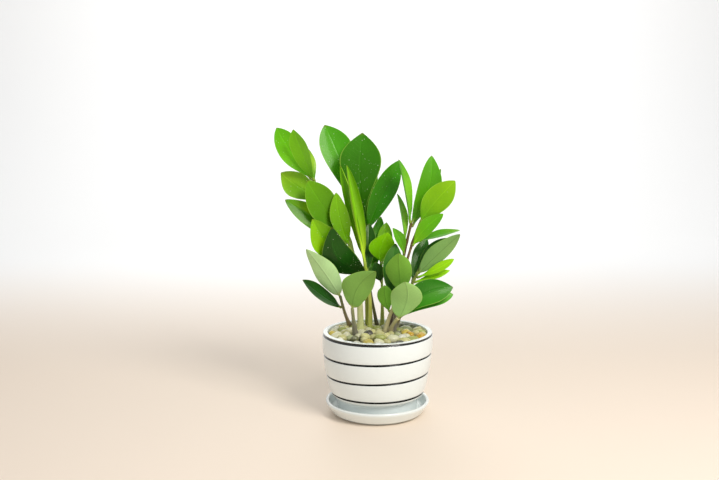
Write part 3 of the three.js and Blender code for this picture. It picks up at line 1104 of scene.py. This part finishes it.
TINTS: dict[str, Tint] = {
    "left_low_1": Tint("518a1f", under="b8de9c", roll=0.3),
    "left_low_2": Tint("0f4a04", "155808", "0c4004", under="a3ca80"),
    "front_left_1": Tint("52901d", under="78a44c", roll=0.45),
    "left_tall_1": Tint("68bb0b", "56a605", "5aad0b", under="86c040", wet=0.5),
    "left_tall_2": Tint("78c712", "56a204", "74c412", under="8ac446"),
    "left_tall_3": Tint("347a08", "3f840a", half="8dbb24", under="7cb83a", roll=0.5),
    "left_tall_4": Tint("6aa70f", "5b9c08", "91c322", half="80ba1d", under="86c040", wet=0.6),
    "left_tall_5": Tint("549104", "4f8c04", "62a007", under="7ab22c", roll=0.3),
    "left_tall_6": Tint("488807", "79b604", "3c8007", half="85be05", under="8cc828", roll=0.3),
    "left_tall_7": Tint("6ba909", "74b407", "71ae11", under="80bc30", wet=0.7),
    "left_tall_8": Tint("8ac505", "9ad407", "82c107", half="67a707", under="94cc20", roll=0.5, wet=0.4),
    "centre_tall_1": Tint("4da410", "3d9405", "459a0c", under="5aa02c", wet=1.0),
    "centre_tall_2": Tint("2b6e02", "164001", "327e04", under="4f9a26", wet=0.7, roll=0.3),
    "centre_tall_3": Tint("318005", "296f04", "3c8c0a", half="2f8a06", under="78b450", roll=0.45, wet=0.6),
    "centre_tall_4": Tint("44940b", "317a05", under="55a02c"),
    "centre_tall_5": Tint("41900c", "347c06", under="5aa22c"),
    "spear_1": Tint("7dba16", "bbd834", "72b411", under="a4c83c", roll=1.75),
    "spear_2": Tint("70b411", "aad02b", "66ab11", under="9cc434", roll=1.75),
    "mid_dark_1": Tint("0e400a", "0c3b07", "124e0a", half="145509", under="4f8f3c", roll=0.3, wet=0.9),
    "mid_dark_2": Tint("1f540e", "1c4c0c", under="3c7c30"),
    "mid_dark_3": Tint("408c0e", "31740a", under="55993a"),
    "mid_lime_1": Tint("7cc506", "71b806", "8dd20c", under="84c034", roll=0.25),
    "mid_lime_2": Tint("79ba0a", "67aa07", "87c411", under="88c434"),
    "mid_lime_3": Tint("2d5e23", "27501a", under="3f7850"),
    "front_right_1": Tint("52901d", under="74aa3c", roll=0.4),
    "front_right_2": Tint("52901d", under="70ae38", roll=0.4),
    "front_right_3": Tint("316a1f", "2d5e1a", "397622", under="4f8a50"),
    "front_round_1": Tint("52901d", under="9cca76", roll=0.35),
    "front_round_2": Tint("257206", "1c6301", "257706", half="34850d", under="64a84c", wet=0.3),
    "front_round_3": Tint("3f901e", "348413", "5daa30", under="74b456", roll=0.4),
    "right_tall_1": Tint("519a0a", "458e0a", "4fa216", under="58a834"),
    "right_tall_2": Tint("59ac18", "65b41a", "449a11", half="79bc26", under="74b848", roll=0.7),
    "right_tall_3": Tint("69b61a", "71ba1d", "55a814", half="8dc82e", under="80c048", roll=0.6),
    "right_tall_4": Tint("5aa818", "71b822", under="78bc48", roll=0.6),
    "right_tall_5": Tint("418a0e", under="5aa234", dry_tip=1.0),
    "right_twin_1": Tint("79b40d", "61a808", "89be16", under="84c440", roll=0.3),
    "right_twin_2": Tint("5fae0c", "7dc013", "5aa80e", under="80c43c", roll=0.45),
    "right_twin_3": Tint("4f9a0e", "418c0b", "74ae1a", under="74b440", roll=0.6, dry_tip=1.0),
    "right_low_1": Tint("3a7a17", under="84b264", roll=0.3),
    "right_low_2": Tint("246413", "215a11", "2f7418", under="548f4c", roll=0.4),
    "right_low_3": Tint("306c24", "2b5f1d", under="4a8650"),
    "right_low_4": Tint("93d00d", "81c608", under="9cd828", roll=0.4),
    "right_low_5": Tint("95d20d", "85c808", under="9cd828", roll=0.4),
}


@dataclass
class Leaflets:
    """All leaflets: thin, fleshy blades on short stalks that join their stems."""

    columns: tuple[float, ...] = (0, 0.025, 0.06, 0.11, 0.19, 0.3, 0.43, 0.57, 0.7, 0.81, 0.9, 0.96, 0.99, 1)
    rows: int = 54
    row_crowding: float = 1.25
    stalk_mm: float = 1.3
    stalk_taper: float = 0.6
    thick_mm: float = 0.5
    thick_taper: float = 0.45
    join_mm: float = 1.6
    groove_mm: float = 0.28
    rib_mm: float = 0.32
    rib_spread_mm: float = 0.75
    wave_mm: float = 0.45
    wave_at_mm: float = 10.0
    tip_slope: float = 1.5
    uneven: float = 0.05
    straight: float = 0.02
    stalk: str = "a9b45a"
    dry: str = "7a5a28"

    def __post_init__(self) -> None:
        """Places a row's points across the blade, over its upper side from the left and back under it."""
        upper = np.array([*[-c for c in self.columns[:0:-1]], *self.columns])
        self.upper_points = len(upper)
        self.across = np.concatenate([upper, upper[-2:0:-1]])

    def half_widths(self, blade: Blade, share: np.ndarray) -> np.ndarray:
        """Finds half the width of a leaflet: its stalk, its outline and its pointed tip.

        Args:
            blade: Its lines.
            share: Shares of its length.

        Returns:
            Half the width at each, in millimetres.
        """
        on_blade = np.clip(share, 0, 1)
        shape = outline(on_blade, blade.widest) * blade.half
        point = np.maximum(1 - share, 0.0) * blade.span * self.tip_slope + 1e-4
        shape = shape * point / (shape**4 + point**4) ** 0.25
        stalk = self.stalk_mm * (1 - self.stalk_taper * on_blade) * (1 - ramp(share, 0.9, 1.0))
        return np.maximum(stalk, shape)

    def blade_points(
        self, blade: Blade, roll: float, seed: float
    ) -> tuple[np.ndarray, np.ndarray, np.ndarray]:
        """Places the points of a leaflet.

        Args:
            blade: Its lines.
            roll: How far it curls, in radians.
            seed: Sets its own small waves.

        Returns:
            The points of each row in millimetres, the rows' shares of the length, and how far across each
            point lies, in millimetres and as a share.
        """
        shares = 1 - (1 - np.linspace(0, 1, self.rows)) ** self.row_crowding
        shares = np.concatenate([[-self.join_mm / blade.span], shares[:-1]])
        share, across = shares[:, None], self.across[: self.upper_points]
        half = self.half_widths(blade, share)
        blend = ramp(share, 0.02, 0.2)
        thick = self.stalk_mm + (self.thick_mm - self.stalk_mm) * blend
        thick = np.minimum(thick * (1 - self.thick_taper * np.clip(share, 0, 1)), half)
        centre = blade.start + share * blade.span * blade.chord + share * (1 - share) * blade.bow

        curl = roll * blend
        scale = half / np.where(curl < math.pi / 2, np.maximum(np.sin(curl), 1e-3), 1.0)
        flat = curl < self.straight
        over = np.where(flat, half * across, scale * np.sin(curl * across))
        over = over * (1 + self.uneven * blend * np.sin(share * 7.5 + seed + np.sign(across)))
        lift = np.where(flat, 0.0, scale * (1 - np.cos(curl * across)))
        ripple = np.abs(across) ** 2.5 * np.sin(share * 9.0 + seed + 1.8 * np.sign(across))
        lift = lift + self.wave_mm * blend * ripple * (half / self.wave_at_mm)
        skin = np.sqrt(np.maximum(0.0, 1 - across**2)) * thick
        rib = np.exp(-((over / self.rib_spread_mm) ** 2)) * blend * (1 - ramp(share, 0.8, 1.0))
        upper, lower = lift + skin - self.groove_mm * rib, lift - skin - self.rib_mm * rib
        over, height = np.hstack([over, over[:, -2:0:-1]]), np.hstack([upper, lower[:, -2:0:-1]])
        points = centre[:, None] + over[..., None] * blade.side + height[..., None] * blade.up
        reach = np.stack(np.broadcast_arrays(half * self.across, np.abs(self.across)), -1)
        return points, shares, reach

    def colors(self, tint: Tint, shares: np.ndarray, seed: float) -> np.ndarray:
        """Colours the points of a leaflet.

        Args:
            tint: Its colours.
            shares: Each row's share of the length.
            seed: Sets its own cloudiness.

        Returns:
            A colour for each point of each row.
        """
        top, base, tip, half = [rgb(code or tint.top) for code in (tint.top, tint.base, tint.tip, tint.half)]
        share, across = shares[:, None, None], self.across[None, :, None]
        # The right half takes the `half` colour: painted light and shade on the folded blade.
        right = ramp(across + 0.12 * np.sin(5 * share + seed), -0.08, 0.12)
        color = toward(top, half, right)
        color = toward(color, base, (1 - ramp(share, 0.0, 0.55)) * 0.9)
        color = toward(color, tip, ramp(share, 0.55, 1.0) * 0.8)
        cloud, by_stalk = 1 + 0.06 * np.sin(7 * share + seed), 1 - ramp(share, 0.0, 0.3)
        on_top = (np.arange(len(self.across)) < self.upper_points)[None, :, None]
        color = np.where(on_top, color, rgb(tint.under) * cloud * (1 - 0.18 * by_stalk))
        color = toward(color, rgb(self.stalk), (1 - ramp(share, 0.0, 0.07)) * 0.7)
        color = toward(color, rgb(self.dry), ramp(share, 0.965, 1.0) * tint.dry_tip)
        return np.concatenate([color, np.ones((*color.shape[:2], 1))], -1)

    def build(
        self, node: str, slot: str, blade: Blade, skins: Sequence[bpy.types.Material]
    ) -> bpy.types.Object:
        """Builds one leaflet.

        Args:
            node: Its CAD node's name.
            slot: Its material slot in the record, which is not used.
            blade: Its lines.
            skins: The materials of its upper side and its underside.

        Returns:
            The piece.
        """
        tint = TINTS[node.removeprefix("leaf_")]
        seed = (blade.tip[0] * 0.37 + blade.tip[2] * 0.11) % 6.28
        points, shares, reach = self.blade_points(blade, tint.roll, seed)
        rows, columns, _ = points.shape
        base, points = points[0].mean(0), points.reshape(-1, 3)
        points = np.vstack([points, base, blade.tip]) * MM
        name = node.replace("leaf", "leaflet")
        mesh = mesh_from(name, points, [face[::-1] for face in capped_faces(rows, columns)])
        under = (np.arange(columns) >= self.upper_points - 1).astype(int)
        ends = np.column_stack([np.ones(columns, int), under])
        sides = [*np.tile(under, rows - 1).tolist(), *ends.ravel().tolist()]
        mesh.polygons.foreach_set("material_index", sides)
        for skin in skins:
            mesh.materials.append(skin)
        color = self.colors(tint, shares, seed)
        color = np.vstack([color.reshape(-1, 4), color[0, 0], color[-1, 0]])
        along = np.broadcast_to(shares[:, None, None] * blade.span, (rows, columns, 1))
        places = np.concatenate([along, reach], -1).reshape(-1, 3)
        set_attribute(mesh, "tint", Stored.COLOR, color)
        set_attribute(mesh, "blade", Stored.VECTOR, np.vstack([places, [0, 0, 0], [blade.span, 0, 0]]))
        set_attribute(mesh, "wet", Stored.NUMBER, np.full(len(points), tint.wet))
        return add_piece(name, mesh, [node])


# ------------------------------------------------------------------ stems


@dataclass(frozen=True)
class StemTint:
    """The colours of a stem from its foot to its top."""

    foot: str
    middle: str
    top: str


STEM_TINTS: dict[str, StemTint] = {
    "left_low": StemTint("b49a88", "8f7a60", "6f7a4a"),
    "front_left": StemTint("6e6660", "7e7a6c", "8c9060"),
    "left_tall": StemTint("c9cf8e", "b5c468", "8ab82c"),
    "centre_tall": StemTint("8f9a30", "86962c", "6a8c28"),
    "spear": StemTint("c4cc70", "d2d866", "a8c23c"),
    "mid_dark": StemTint("4f4a34", "5a5a38", "4c6a2c"),
    "mid_lime": StemTint("b8c070", "a8bc58", "7cae30"),
    "front_right": StemTint("d8d0ae", "cfc898", "a0ac60"),
    "front_round": StemTint("5f5756", "9a8f74", "c6c088"),
    "right_tall": StemTint("6a5a50", "7c5a3c", "6e5a2c"),
    "right_twin": StemTint("8a8478", "7a6040", "76602c"),
    "right_low": StemTint("c8bca0", "8c7c50", "8a9a44"),
}


def sweep_tree() -> bpy.types.NodeTree:
    """Makes the geometry nodes that sweep a round section along a stem's line.

    Returns:
        The tree, with the section's sides and the skin as its inputs.
    """
    inputs = {"Line": GEOMETRY, "Sides": COUNT, "Skin": MATERIAL}
    wires, given = new_group("stem_sweep", "GeometryNodeTree", inputs, {"Shapes": GEOMETRY})
    girth = wires.named("girth", "FLOAT")
    line = wires.add("GeometryNodeMeshToCurve", {"Mesh": given["Line"]}).outputs["Curve"]
    section = wires.add("GeometryNodeCurvePrimitiveCircle", {"Resolution": given["Sides"], "Radius": 1.0})
    values = {"Curve": line, "Profile Curve": section.outputs["Curve"], "Scale": girth, "Fill Caps": True}
    swept = wires.add("GeometryNodeCurveToMesh", values).outputs["Mesh"]
    return close_shapes(wires, swept, given["Skin"])


def run_tree(tree: bpy.types.NodeTree, source: bpy.types.Mesh, values: dict[str, object]) -> bpy.types.Mesh:
    """Runs a geometry node tree on a mesh.

    Args:
        tree: The tree.
        source: The mesh that it starts from.
        values: Its inputs by name.

    Returns:
        The resulting mesh.
    """
    holder = bpy.data.objects.new("holder", source)
    bpy.context.scene.collection.objects.link(holder)
    modifier = holder.modifiers.new("nodes", "NODES")
    modifier.node_group = tree
    for item in tree.interface.items_tree:
        if item.in_out == "INPUT" and item.name in values:
            modifier[item.identifier] = values[item.name]
    return evaluated_mesh(holder)


@dataclass
class Stems:
    """All stems: fleshy and round, swollen at the foot, with a slight joint under each leaflet."""

    points: int = 70
    sides: int = 24
    joint_mm: float = 0.22
    joint_spread_mm: float = 1.6
    uneven: float = 0.03
    top_rounding: tuple[float, float] = (0.9, 0.55)

    def line(self, name: str) -> tuple[np.ndarray, np.ndarray]:
        """Reads a stem's middle line and radii.

        Args:
            name: Its CAD node's name.

        Returns:
            Points from the buried end to the top, and the radius at each, in millimetres.
        """
        rings = Ladder(name, tip_first=False).rings[1:-1][::-1]
        centres = np.array([ring.mean(0) for ring in rings])
        radii = np.array([np.linalg.norm(ring - ring.mean(0), axis=1).mean() for ring in rings])
        knots = np.concatenate([[0], np.cumsum(np.linalg.norm(np.diff(centres, axis=0), axis=1))])
        samples = np.linspace(0, knots[-1], self.points)
        slopes = np.gradient(centres, knots, axis=0)
        # The slope at the second ring leans on the stretch above it.
        slopes[1] = slopes[1] * 0.5 + (centres[2] - centres[1]) / (knots[2] - knots[1]) * 0.5
        cell = np.clip(np.searchsorted(knots, samples, "right") - 1, 0, len(knots) - 2)
        width = (knots[cell + 1] - knots[cell])[:, None]
        t = (samples - knots[cell])[:, None] / width
        curve = (
            (2 * t**3 - 3 * t**2 + 1) * centres[cell]
            + (t**3 - 2 * t**2 + t) * width * slopes[cell]
            + (3 * t**2 - 2 * t**3) * centres[cell + 1]
            + (t**3 - t**2) * width * slopes[cell + 1]
        )
        return curve, np.interp(samples, knots, radii)

    def build(
        self,
        node: str,
        line: tuple[np.ndarray, np.ndarray],
        joints: np.ndarray,
        skin: bpy.types.Material,
        tree: bpy.types.NodeTree,
    ) -> bpy.types.Object:
        """Builds one stem.

        Args:
            node: Its CAD node's name.
            line: Its middle line and radii.
            joints: Where its leaflets' stalks start, in millimetres.
            skin: The stems' skin.
            tree: The sweeping nodes.

        Returns:
            The piece.
        """
        curve, radii = line
        for joint in joints:
            away = np.linalg.norm(curve - joint, axis=1)
            radii = radii + self.joint_mm * np.exp(-(((away - away.min()) / self.joint_spread_mm) ** 2))
        rise = np.linspace(0, 1, self.points)
        radii = radii * (1 + self.uneven * np.sin(rise * 23 + joints.sum()))
        radii[-2:] *= self.top_rounding
        tint = STEM_TINTS[node.removeprefix("stem_")]
        foot, middle, top = [np.array(linear(code)) for code in (tint.foot, tint.middle, tint.top)]
        color = toward(foot, middle, ramp(rise, 0.2, 0.5)[:, None])
        color = toward(color, top, ramp(rise, 0.5, 1.0)[:, None])
        mesh = mesh_from(node, curve * MM, edges=[(i, i + 1) for i in range(self.points - 1)])
        set_attribute(mesh, "girth", Stored.NUMBER, radii * MM)
        set_attribute(mesh, "tint", Stored.COLOR, color)
        swept = run_tree(tree, mesh, {"Sides": self.sides, "Skin": skin})
        return add_piece(node.replace("stem", "stalk"), swept, [node])


# ------------------------------------------------------------------ pebbles


@dataclass(frozen=True)
class StoneKind:
    """A colour of stone and how often it comes."""

    color: str
    share: float


STONE_KINDS = (
    StoneKind("c4c084", 0.26),
    StoneKind("d8d6b2", 0.24),
    StoneKind("acb264", 0.13),
    StoneKind("a5ac7c", 0.1),
    StoneKind("c4b252", 0.1),
    StoneKind("dedccc", 0.09),
    StoneKind("6c6e4a", 0.05),
    StoneKind("45423c", 0.03),
)


def stone_tree(variants: int = 5) -> bpy.types.NodeTree:
    """Makes the geometry nodes that put a stone at each point.

    Args:
        variants: How many shapes of stone there are.

    Returns:
        The tree, with its lumpiness, its seed and the stone as its inputs.
    """
    lean, turn = 0.7, 6.28
    inputs = {"Places": GEOMETRY, "Lumpiness": FLOAT, "Seed": COUNT, "Stone": MATERIAL}
    wires, given = new_group("stone_scatter", "GeometryNodeTree", inputs, {"Shapes": GEOMETRY})
    join = wires.add("GeometryNodeJoinGeometry")
    for variant in range(variants):
        ball = wires.add("GeometryNodeMeshIcoSphere", {"Radius": 1.0, "Subdivisions": 2}).outputs["Mesh"]
        place = wires.add("GeometryNodeInputPosition").outputs[0]
        ends = {0: place, 1: (variant * 5.3, variant * 2.1, 0.7)}
        shift = wires.add("ShaderNodeVectorMath", ends, operation="ADD").outputs[0]
        bumps = wires.noise(shift, 0.75, detail=1.5)
        swell = wires.times(wires.math("SUBTRACT", bumps, 0.5), given["Lumpiness"])
        push = wires.add("ShaderNodeVectorMath", {0: place, "Scale": swell}, operation="SCALE").outputs[0]
        lump = wires.add("GeometryNodeSetPosition", {"Geometry": ball, "Offset": push}).outputs["Geometry"]
        single = wires.add("GeometryNodeGeometryToInstance", {"Geometry": lump}).outputs["Instances"]
        wires.tree.links.new(single, join.inputs[0])
    angles = {"Min": (-lean, -lean, 0.0), "Max": (lean, lean, turn), "Seed": given["Seed"]}
    spin = wires.add("FunctionNodeRandomValue", angles, data_type="FLOAT_VECTOR").outputs[0]
    kind = wires.add("FunctionNodeRandomValue", {"Seed": given["Seed"]}, data_type="INT")
    wires.feed(next(s for s in kind.inputs if s.name == "Max" and s.enabled), variants - 1)
    values = {
        "Points": given["Places"],
        "Instance": join.outputs[0],
        "Pick Instance": True,
        "Instance Index": next(s for s in kind.outputs if s.enabled),
        "Rotation": spin,
        "Scale": wires.named("size", "FLOAT_VECTOR"),
    }
    scatter = wires.add("GeometryNodeInstanceOnPoints", values).outputs[0]
    return close_shapes(wires, scatter, given["Stone"])


@dataclass
class PebbleBed:
    """The layer of washed pebbles on the soil, packed round the stems up to the rim."""

    seed: int = 11
    layer_drops_mm: tuple[float, ...] = (0.0, 6.2)
    small_mm: float = 4.4
    large_mm: float = 7.4
    most: int = 220
    filled: float = 0.8
    rounds: int = 220
    nestle: float = 0.94
    push: float = 0.32
    stem_push: float = 0.6
    edge_fall_mm: float = 2.6
    sunk: float = 0.62
    rumple_mm: float = 0.5
    lumpiness: float = 0.75
    lower_painted_shade: float = 0.16
    amber: str = "c8a02a"
    amber_place_mm: tuple[float, float] = (40.0, -10.0)
    amber_reach_mm: float = 9.0
    pale: str = "cfccba"
    soil_below_rim_mm: float = 12.5
    soil_rings: int = 26
    soil_segments: int = 90
    crumb_mm: float = 0.7

    def scatter(
        self, reach: float, stems: np.ndarray, rng: np.random.Generator
    ) -> tuple[np.ndarray, np.ndarray]:
        """Packs one layer of stones into the pot by pushing them apart.

        Args:
            reach: Radius of the room inside the pot, in millimetres.
            stems: The stems' feet and radii.
            rng: The source of chance.

        Returns:
            The stones' places in plan and their radii.
        """
        sizes = self.small_mm + (self.large_mm - self.small_mm) * rng.random(self.most) ** 1.3
        sizes = sizes[np.cumsum((sizes * 1.02) ** 2) < reach**2 * self.filled]
        turn = rng.random(len(sizes)) * 2 * np.pi
        out = np.sqrt(rng.random(len(sizes))) * (reach - 5)
        places = np.stack([out * np.cos(turn), out * np.sin(turn)], 1)
        for _ in range(self.rounds):
            gap = places[:, None] - places[None, :]
            far = np.linalg.norm(gap, axis=2) + np.eye(len(sizes)) * 1e3
            press = np.maximum(0, (sizes[:, None] + sizes[None, :]) * self.nestle - far)
            places = places + (gap / far[..., None] * press[..., None]).sum(1) * self.push
            for x, y, radius in stems:
                away = places - (x, y)
                near = np.linalg.norm(away, axis=1) + 1e-6
                press = np.maximum(0, radius + sizes * 0.8 - near)
                places = places + away / near[:, None] * press[:, None] * self.stem_push
            out = np.linalg.norm(places, axis=1) + 1e-6
            places = places * np.minimum(1, (reach - sizes * 0.92) / out)[:, None]
        return places, sizes

    def colors(self, stones: np.ndarray, upper: int, rng: np.random.Generator) -> np.ndarray:
        """Colours the stones.

        Args:
            stones: Their places and radii, in millimetres, the upper layer first.
            upper: How many lie in the upper layer.
            rng: The source of chance.

        Returns:
            A colour for each stone.
        """
        shares = np.array([kind.share for kind in STONE_KINDS])
        picks = rng.choice(len(STONE_KINDS), len(stones), p=shares / shares.sum())
        color = np.array([linear(kind.color) for kind in STONE_KINDS])[picks]
        color[:, :3] *= (0.88 + 0.22 * rng.random(len(stones)))[:, None]
        by_amber = np.linalg.norm(stones[:, :2] - self.amber_place_mm, axis=1) < self.amber_reach_mm
        color[by_amber & (np.arange(len(stones)) < upper)] = linear(self.amber)
        in_front = (np.abs(stones[:, 0] + 4) < 20) & (stones[:, 1] < -38)
        color[in_front] = linear(self.pale)
        # The lower layer is darkened as painted shade, which shows as dark gaps between the upper stones.
        color[upper:, :3] *= self.lower_painted_shade
        return color

    def stones(self, pot: Pot, stems: np.ndarray, stone: bpy.types.Material) -> bpy.types.Object:
        """Builds the stones.

        Args:
            pot: The pot that holds them.
            stems: The stems' feet and radii, in millimetres.
            stone: The stones' material.

        Returns:
            The piece.
        """
        rng = np.random.default_rng(self.seed)
        reach = pot.inside_radius(pot.rim - 4.0)
        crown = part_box("pebbles")[1].z / MM
        layers: list[np.ndarray] = []
        for drop in self.layer_drops_mm:
            places, sizes = self.scatter(reach, stems, rng)
            out = np.linalg.norm(places, axis=1) / reach
            level = crown - drop - self.edge_fall_mm * out**2.2 - sizes * self.sunk
            level = level + rng.normal(0, self.rumple_mm, len(sizes))
            layers.append(np.column_stack([places, level, sizes]))
        stones = np.vstack(layers)
        longest, widest, flattest = rng.random(len(stones)), rng.random(len(stones)), rng.random(len(stones))
        stretch = np.stack([1.0 + 0.28 * longest, 1.02 - 0.12 * widest, 0.96 - 0.16 * flattest], 1)
        mesh = mesh_from("stone_places", stones[:, :3] * MM)
        set_attribute(mesh, "size", Stored.VECTOR, stones[:, 3:] * stretch * MM)
        set_attribute(mesh, "tint", Stored.COLOR, self.colors(stones, len(layers[0]), rng))
        values = {"Lumpiness": self.lumpiness, "Seed": self.seed, "Stone": stone}
        return add_piece("pebbles_loose", run_tree(stone_tree(), mesh, values), ["pebbles"])

    def soil_top(self, pot: Pot, earth: bpy.types.Material) -> bpy.types.Object:
        """Builds the crumbly top of the soil that shows between the stones.

        Args:
            pot: The pot that holds it.
            earth: The soil's material.

        Returns:
            The piece.
        """
        level, turn = pot.rim - self.soil_below_rim_mm, circle(self.soil_segments)
        reach = pot.inside_radius(level) - 0.2
        radii = reach * np.arange(1, self.soil_rings + 1)[:, None] / self.soil_rings
        crumbs = np.sin(radii * np.cos(turn) * 0.7) * np.sin(radii * np.sin(turn) * 0.8 + 1)
        points = ring_points(radii, level + self.crumb_mm * crumbs, turn)
        points = np.vstack([points, [0, 0, level], [0, 0, level - 3]]) * MM
        faces = [face[::-1] for face in capped_faces(self.soil_rings, self.soil_segments)]
        mesh = mesh_from("soil_top", points, faces)
        mesh.materials.append(earth)
        return add_piece("soil_top", mesh)


# ------------------------------------------------------------------ studio


MIDDLE: Place = (0.0, 0.0, 0.13)


@dataclass(frozen=True)
class Lamp:
    """A soft square lamp: where it hangs, its side in metres, its watts, its colour and where it looks."""

    name: str
    place: Place
    size: float
    power: float
    color: str
    aim: Place = MIDDLE

    def hang(self) -> None:
        """Adds the lamp to the scene."""
        light = bpy.data.lights.new(self.name, "AREA")
        light.size, light.energy, light.color = self.size, self.power, linear(self.color)[:3]
        lamp = bpy.data.objects.new(self.name, light)
        lamp.location = self.place
        lamp.rotation_euler = (Vector(self.aim) - Vector(self.place)).to_track_quat("-Z", "Y").to_euler()
        bpy.context.scene.collection.objects.link(lamp)


LAMPS = (
    Lamp("key", (0.55, -0.75, 0.95), 0.5, 11.0, "fffcf8"),
    Lamp("fill", (-0.9, -0.6, 0.6), 0.9, 0.2, "f2f7ff"),
    Lamp("back", (-0.3, 0.9, 0.8), 0.7, 1.5, "ffffff"),
    Lamp("wall", (0.0, 1.2, 1.9), 2.0, 30.0, "ffffff", aim=(0.0, 2.6, 1.2)),
)


@dataclass(frozen=True)
class Studio:
    """The floor, the sky, the lamps and the camera, in metres and degrees."""

    camera_place: Place = (-0.0194, -0.926, 0.3165)
    pitch_down: float = 7.86
    lens: float = 44.06
    half_width: float = 6.0
    floor_front: float = -4.0
    wall_start: float = 1.4
    wall_bend: float = 1.2
    wall_top: float = 4.0
    wall_color_from: float = 0.1
    wall_color_to: float = 1.1
    sky: float = 0.6
    sky_color: str = "f3f4f6"
    floor: str = "efdfcd"
    wall: str = "f3f3f2"

    def backdrop(self) -> bpy.types.Mesh:
        """Makes the floor, which curves up into a wall far behind the plant.

        Returns:
            The mesh.
        """
        turn = np.linspace(0, math.pi / 2, 17)
        bend_y = self.wall_start + self.wall_bend * np.sin(turn)
        bend_z = self.wall_bend * (1 - np.cos(turn))
        end = (self.wall_start + self.wall_bend, self.wall_top)
        section = [(self.floor_front, 0.0), *zip(bend_y.tolist(), bend_z.tolist()), end]
        points = [(x, y, z) for y, z in section for x in (-self.half_width, self.half_width)]
        faces = [(2 * i, 2 * i + 1, 2 * i + 3, 2 * i + 2) for i in range(len(section) - 1)]
        return mesh_from("floor", np.array(points), faces)

    def paint(self) -> bpy.types.Material:
        """Makes the floor's warm colour, which turns into the wall's behind the plant.

        Returns:
            The material.
        """
        paint = bpy.data.materials.new("floor_paint")
        paint.use_nodes = True
        shader = paint.node_tree.nodes["Principled BSDF"]
        wires = Wires(paint.node_tree)
        place = wires.add("ShaderNodeTexCoord").outputs["Object"]
        behind = wires.add("ShaderNodeSeparateXYZ", {0: place}).outputs[1]
        far = wires.between(behind, self.wall_color_from, self.wall_color_to)
        wires.feed(shader.inputs["Base Color"], wires.mix(far, linear(self.floor), linear(self.wall)))
        shader.inputs["Roughness"].default_value = 0.6
        return paint

    def build(self) -> None:
        """Builds the studio."""
        scene = bpy.context.scene
        data = bpy.data.cameras.new("camera")
        data.lens, data.sensor_width, data.clip_start = self.lens, 36.0, 0.01
        camera = bpy.data.objects.new("camera", data)
        camera.location = self.camera_place
        camera.rotation_euler = (math.radians(90 - self.pitch_down), 0, 0)
        scene.collection.objects.link(camera)
        scene.camera = camera
        world = bpy.data.worlds.new("studio")
        world.use_nodes = True
        sky = world.node_tree.nodes["Background"]
        sky.inputs["Color"].default_value = linear(self.sky_color)
        sky.inputs["Strength"].default_value = self.sky
        scene.world = world
        for lamp in LAMPS:
            lamp.hang()
        floor = self.backdrop()
        floor.materials.append(self.paint())
        ground = bpy.data.objects.new("floor", floor)
        scene.collection.objects.link(ground)
        scene.view_settings.view_transform = "Standard"


# ------------------------------------------------------------------ the whole plant


def dress_buried(effects: Effects) -> None:
    """Gives the buried CAD pieces their own materials.

    Args:
        effects: The shared groups.
    """
    for node, finish in (("soil", EarthFinish("3b2a1e")), ("rhizome", EarthFinish("a98c5c", 0.35))):
        data = frame["nodes"][node].data
        data.materials.clear()
        data.materials.append(finish.material(f"{node}_matter", effects))


def report(piece: bpy.types.Object) -> None:
    """Logs a finished piece."""
    LOG.info("%s: %d faces", piece.name, len(piece.data.polygons))


def main() -> None:
    """Builds the plant from the saucer up, and the studio round it."""
    logging.basicConfig(level=logging.INFO, format="%(name)s: %(message)s")
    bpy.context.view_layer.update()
    Studio().build()
    effects, glaze = Effects(), GlazeFinish()
    slots = {part["node"]: part["material_slot"] for part in frame["record"]["subparts"]}

    report(Saucer().build(glaze.material("glaze_plain", effects, lined=False)))
    pot = Pot()
    report(pot.build(glaze.material("glaze_lined", effects, lined=True)))

    skins = (UPPER_SKIN.material("blade_upper", effects), UNDER_SKIN.material("blade_under", effects))
    leaflets = Leaflets()
    joints: dict[str, list[np.ndarray]] = {}
    for node in sorted(n for n in frame["nodes"] if n.startswith("leaf_")):
        blade = Blade(node)
        report(leaflets.build(node, slots[node], blade, skins))
        stem, _ = node.removeprefix("leaf_").rsplit("_", 1)
        joints.setdefault(stem, []).append(blade.start)

    stems, skin, tree = Stems(), StemFinish().material(effects), sweep_tree()
    feet = []
    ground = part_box("pebbles")[1].z / MM - 3.0
    for node in sorted(n for n in frame["nodes"] if n.startswith("stem_")):
        curve, radii = stems.line(node)
        report(stems.build(node, (curve, radii), np.array(joints[node.removeprefix("stem_")]), skin, tree))
        nearest = int(np.abs(curve[:, 2] - ground).argmin())
        feet.append((*curve[nearest, :2], radii[nearest]))

    earth, bed = EarthFinish("2e231a").material("soil_crumbs", effects), PebbleBed()
    report(bed.stones(pot, np.array(feet), PebbleFinish().material(effects)))
    report(bed.soil_top(pot, earth))
    dress_buried(effects)


if __name__ == "__main__":
    main()
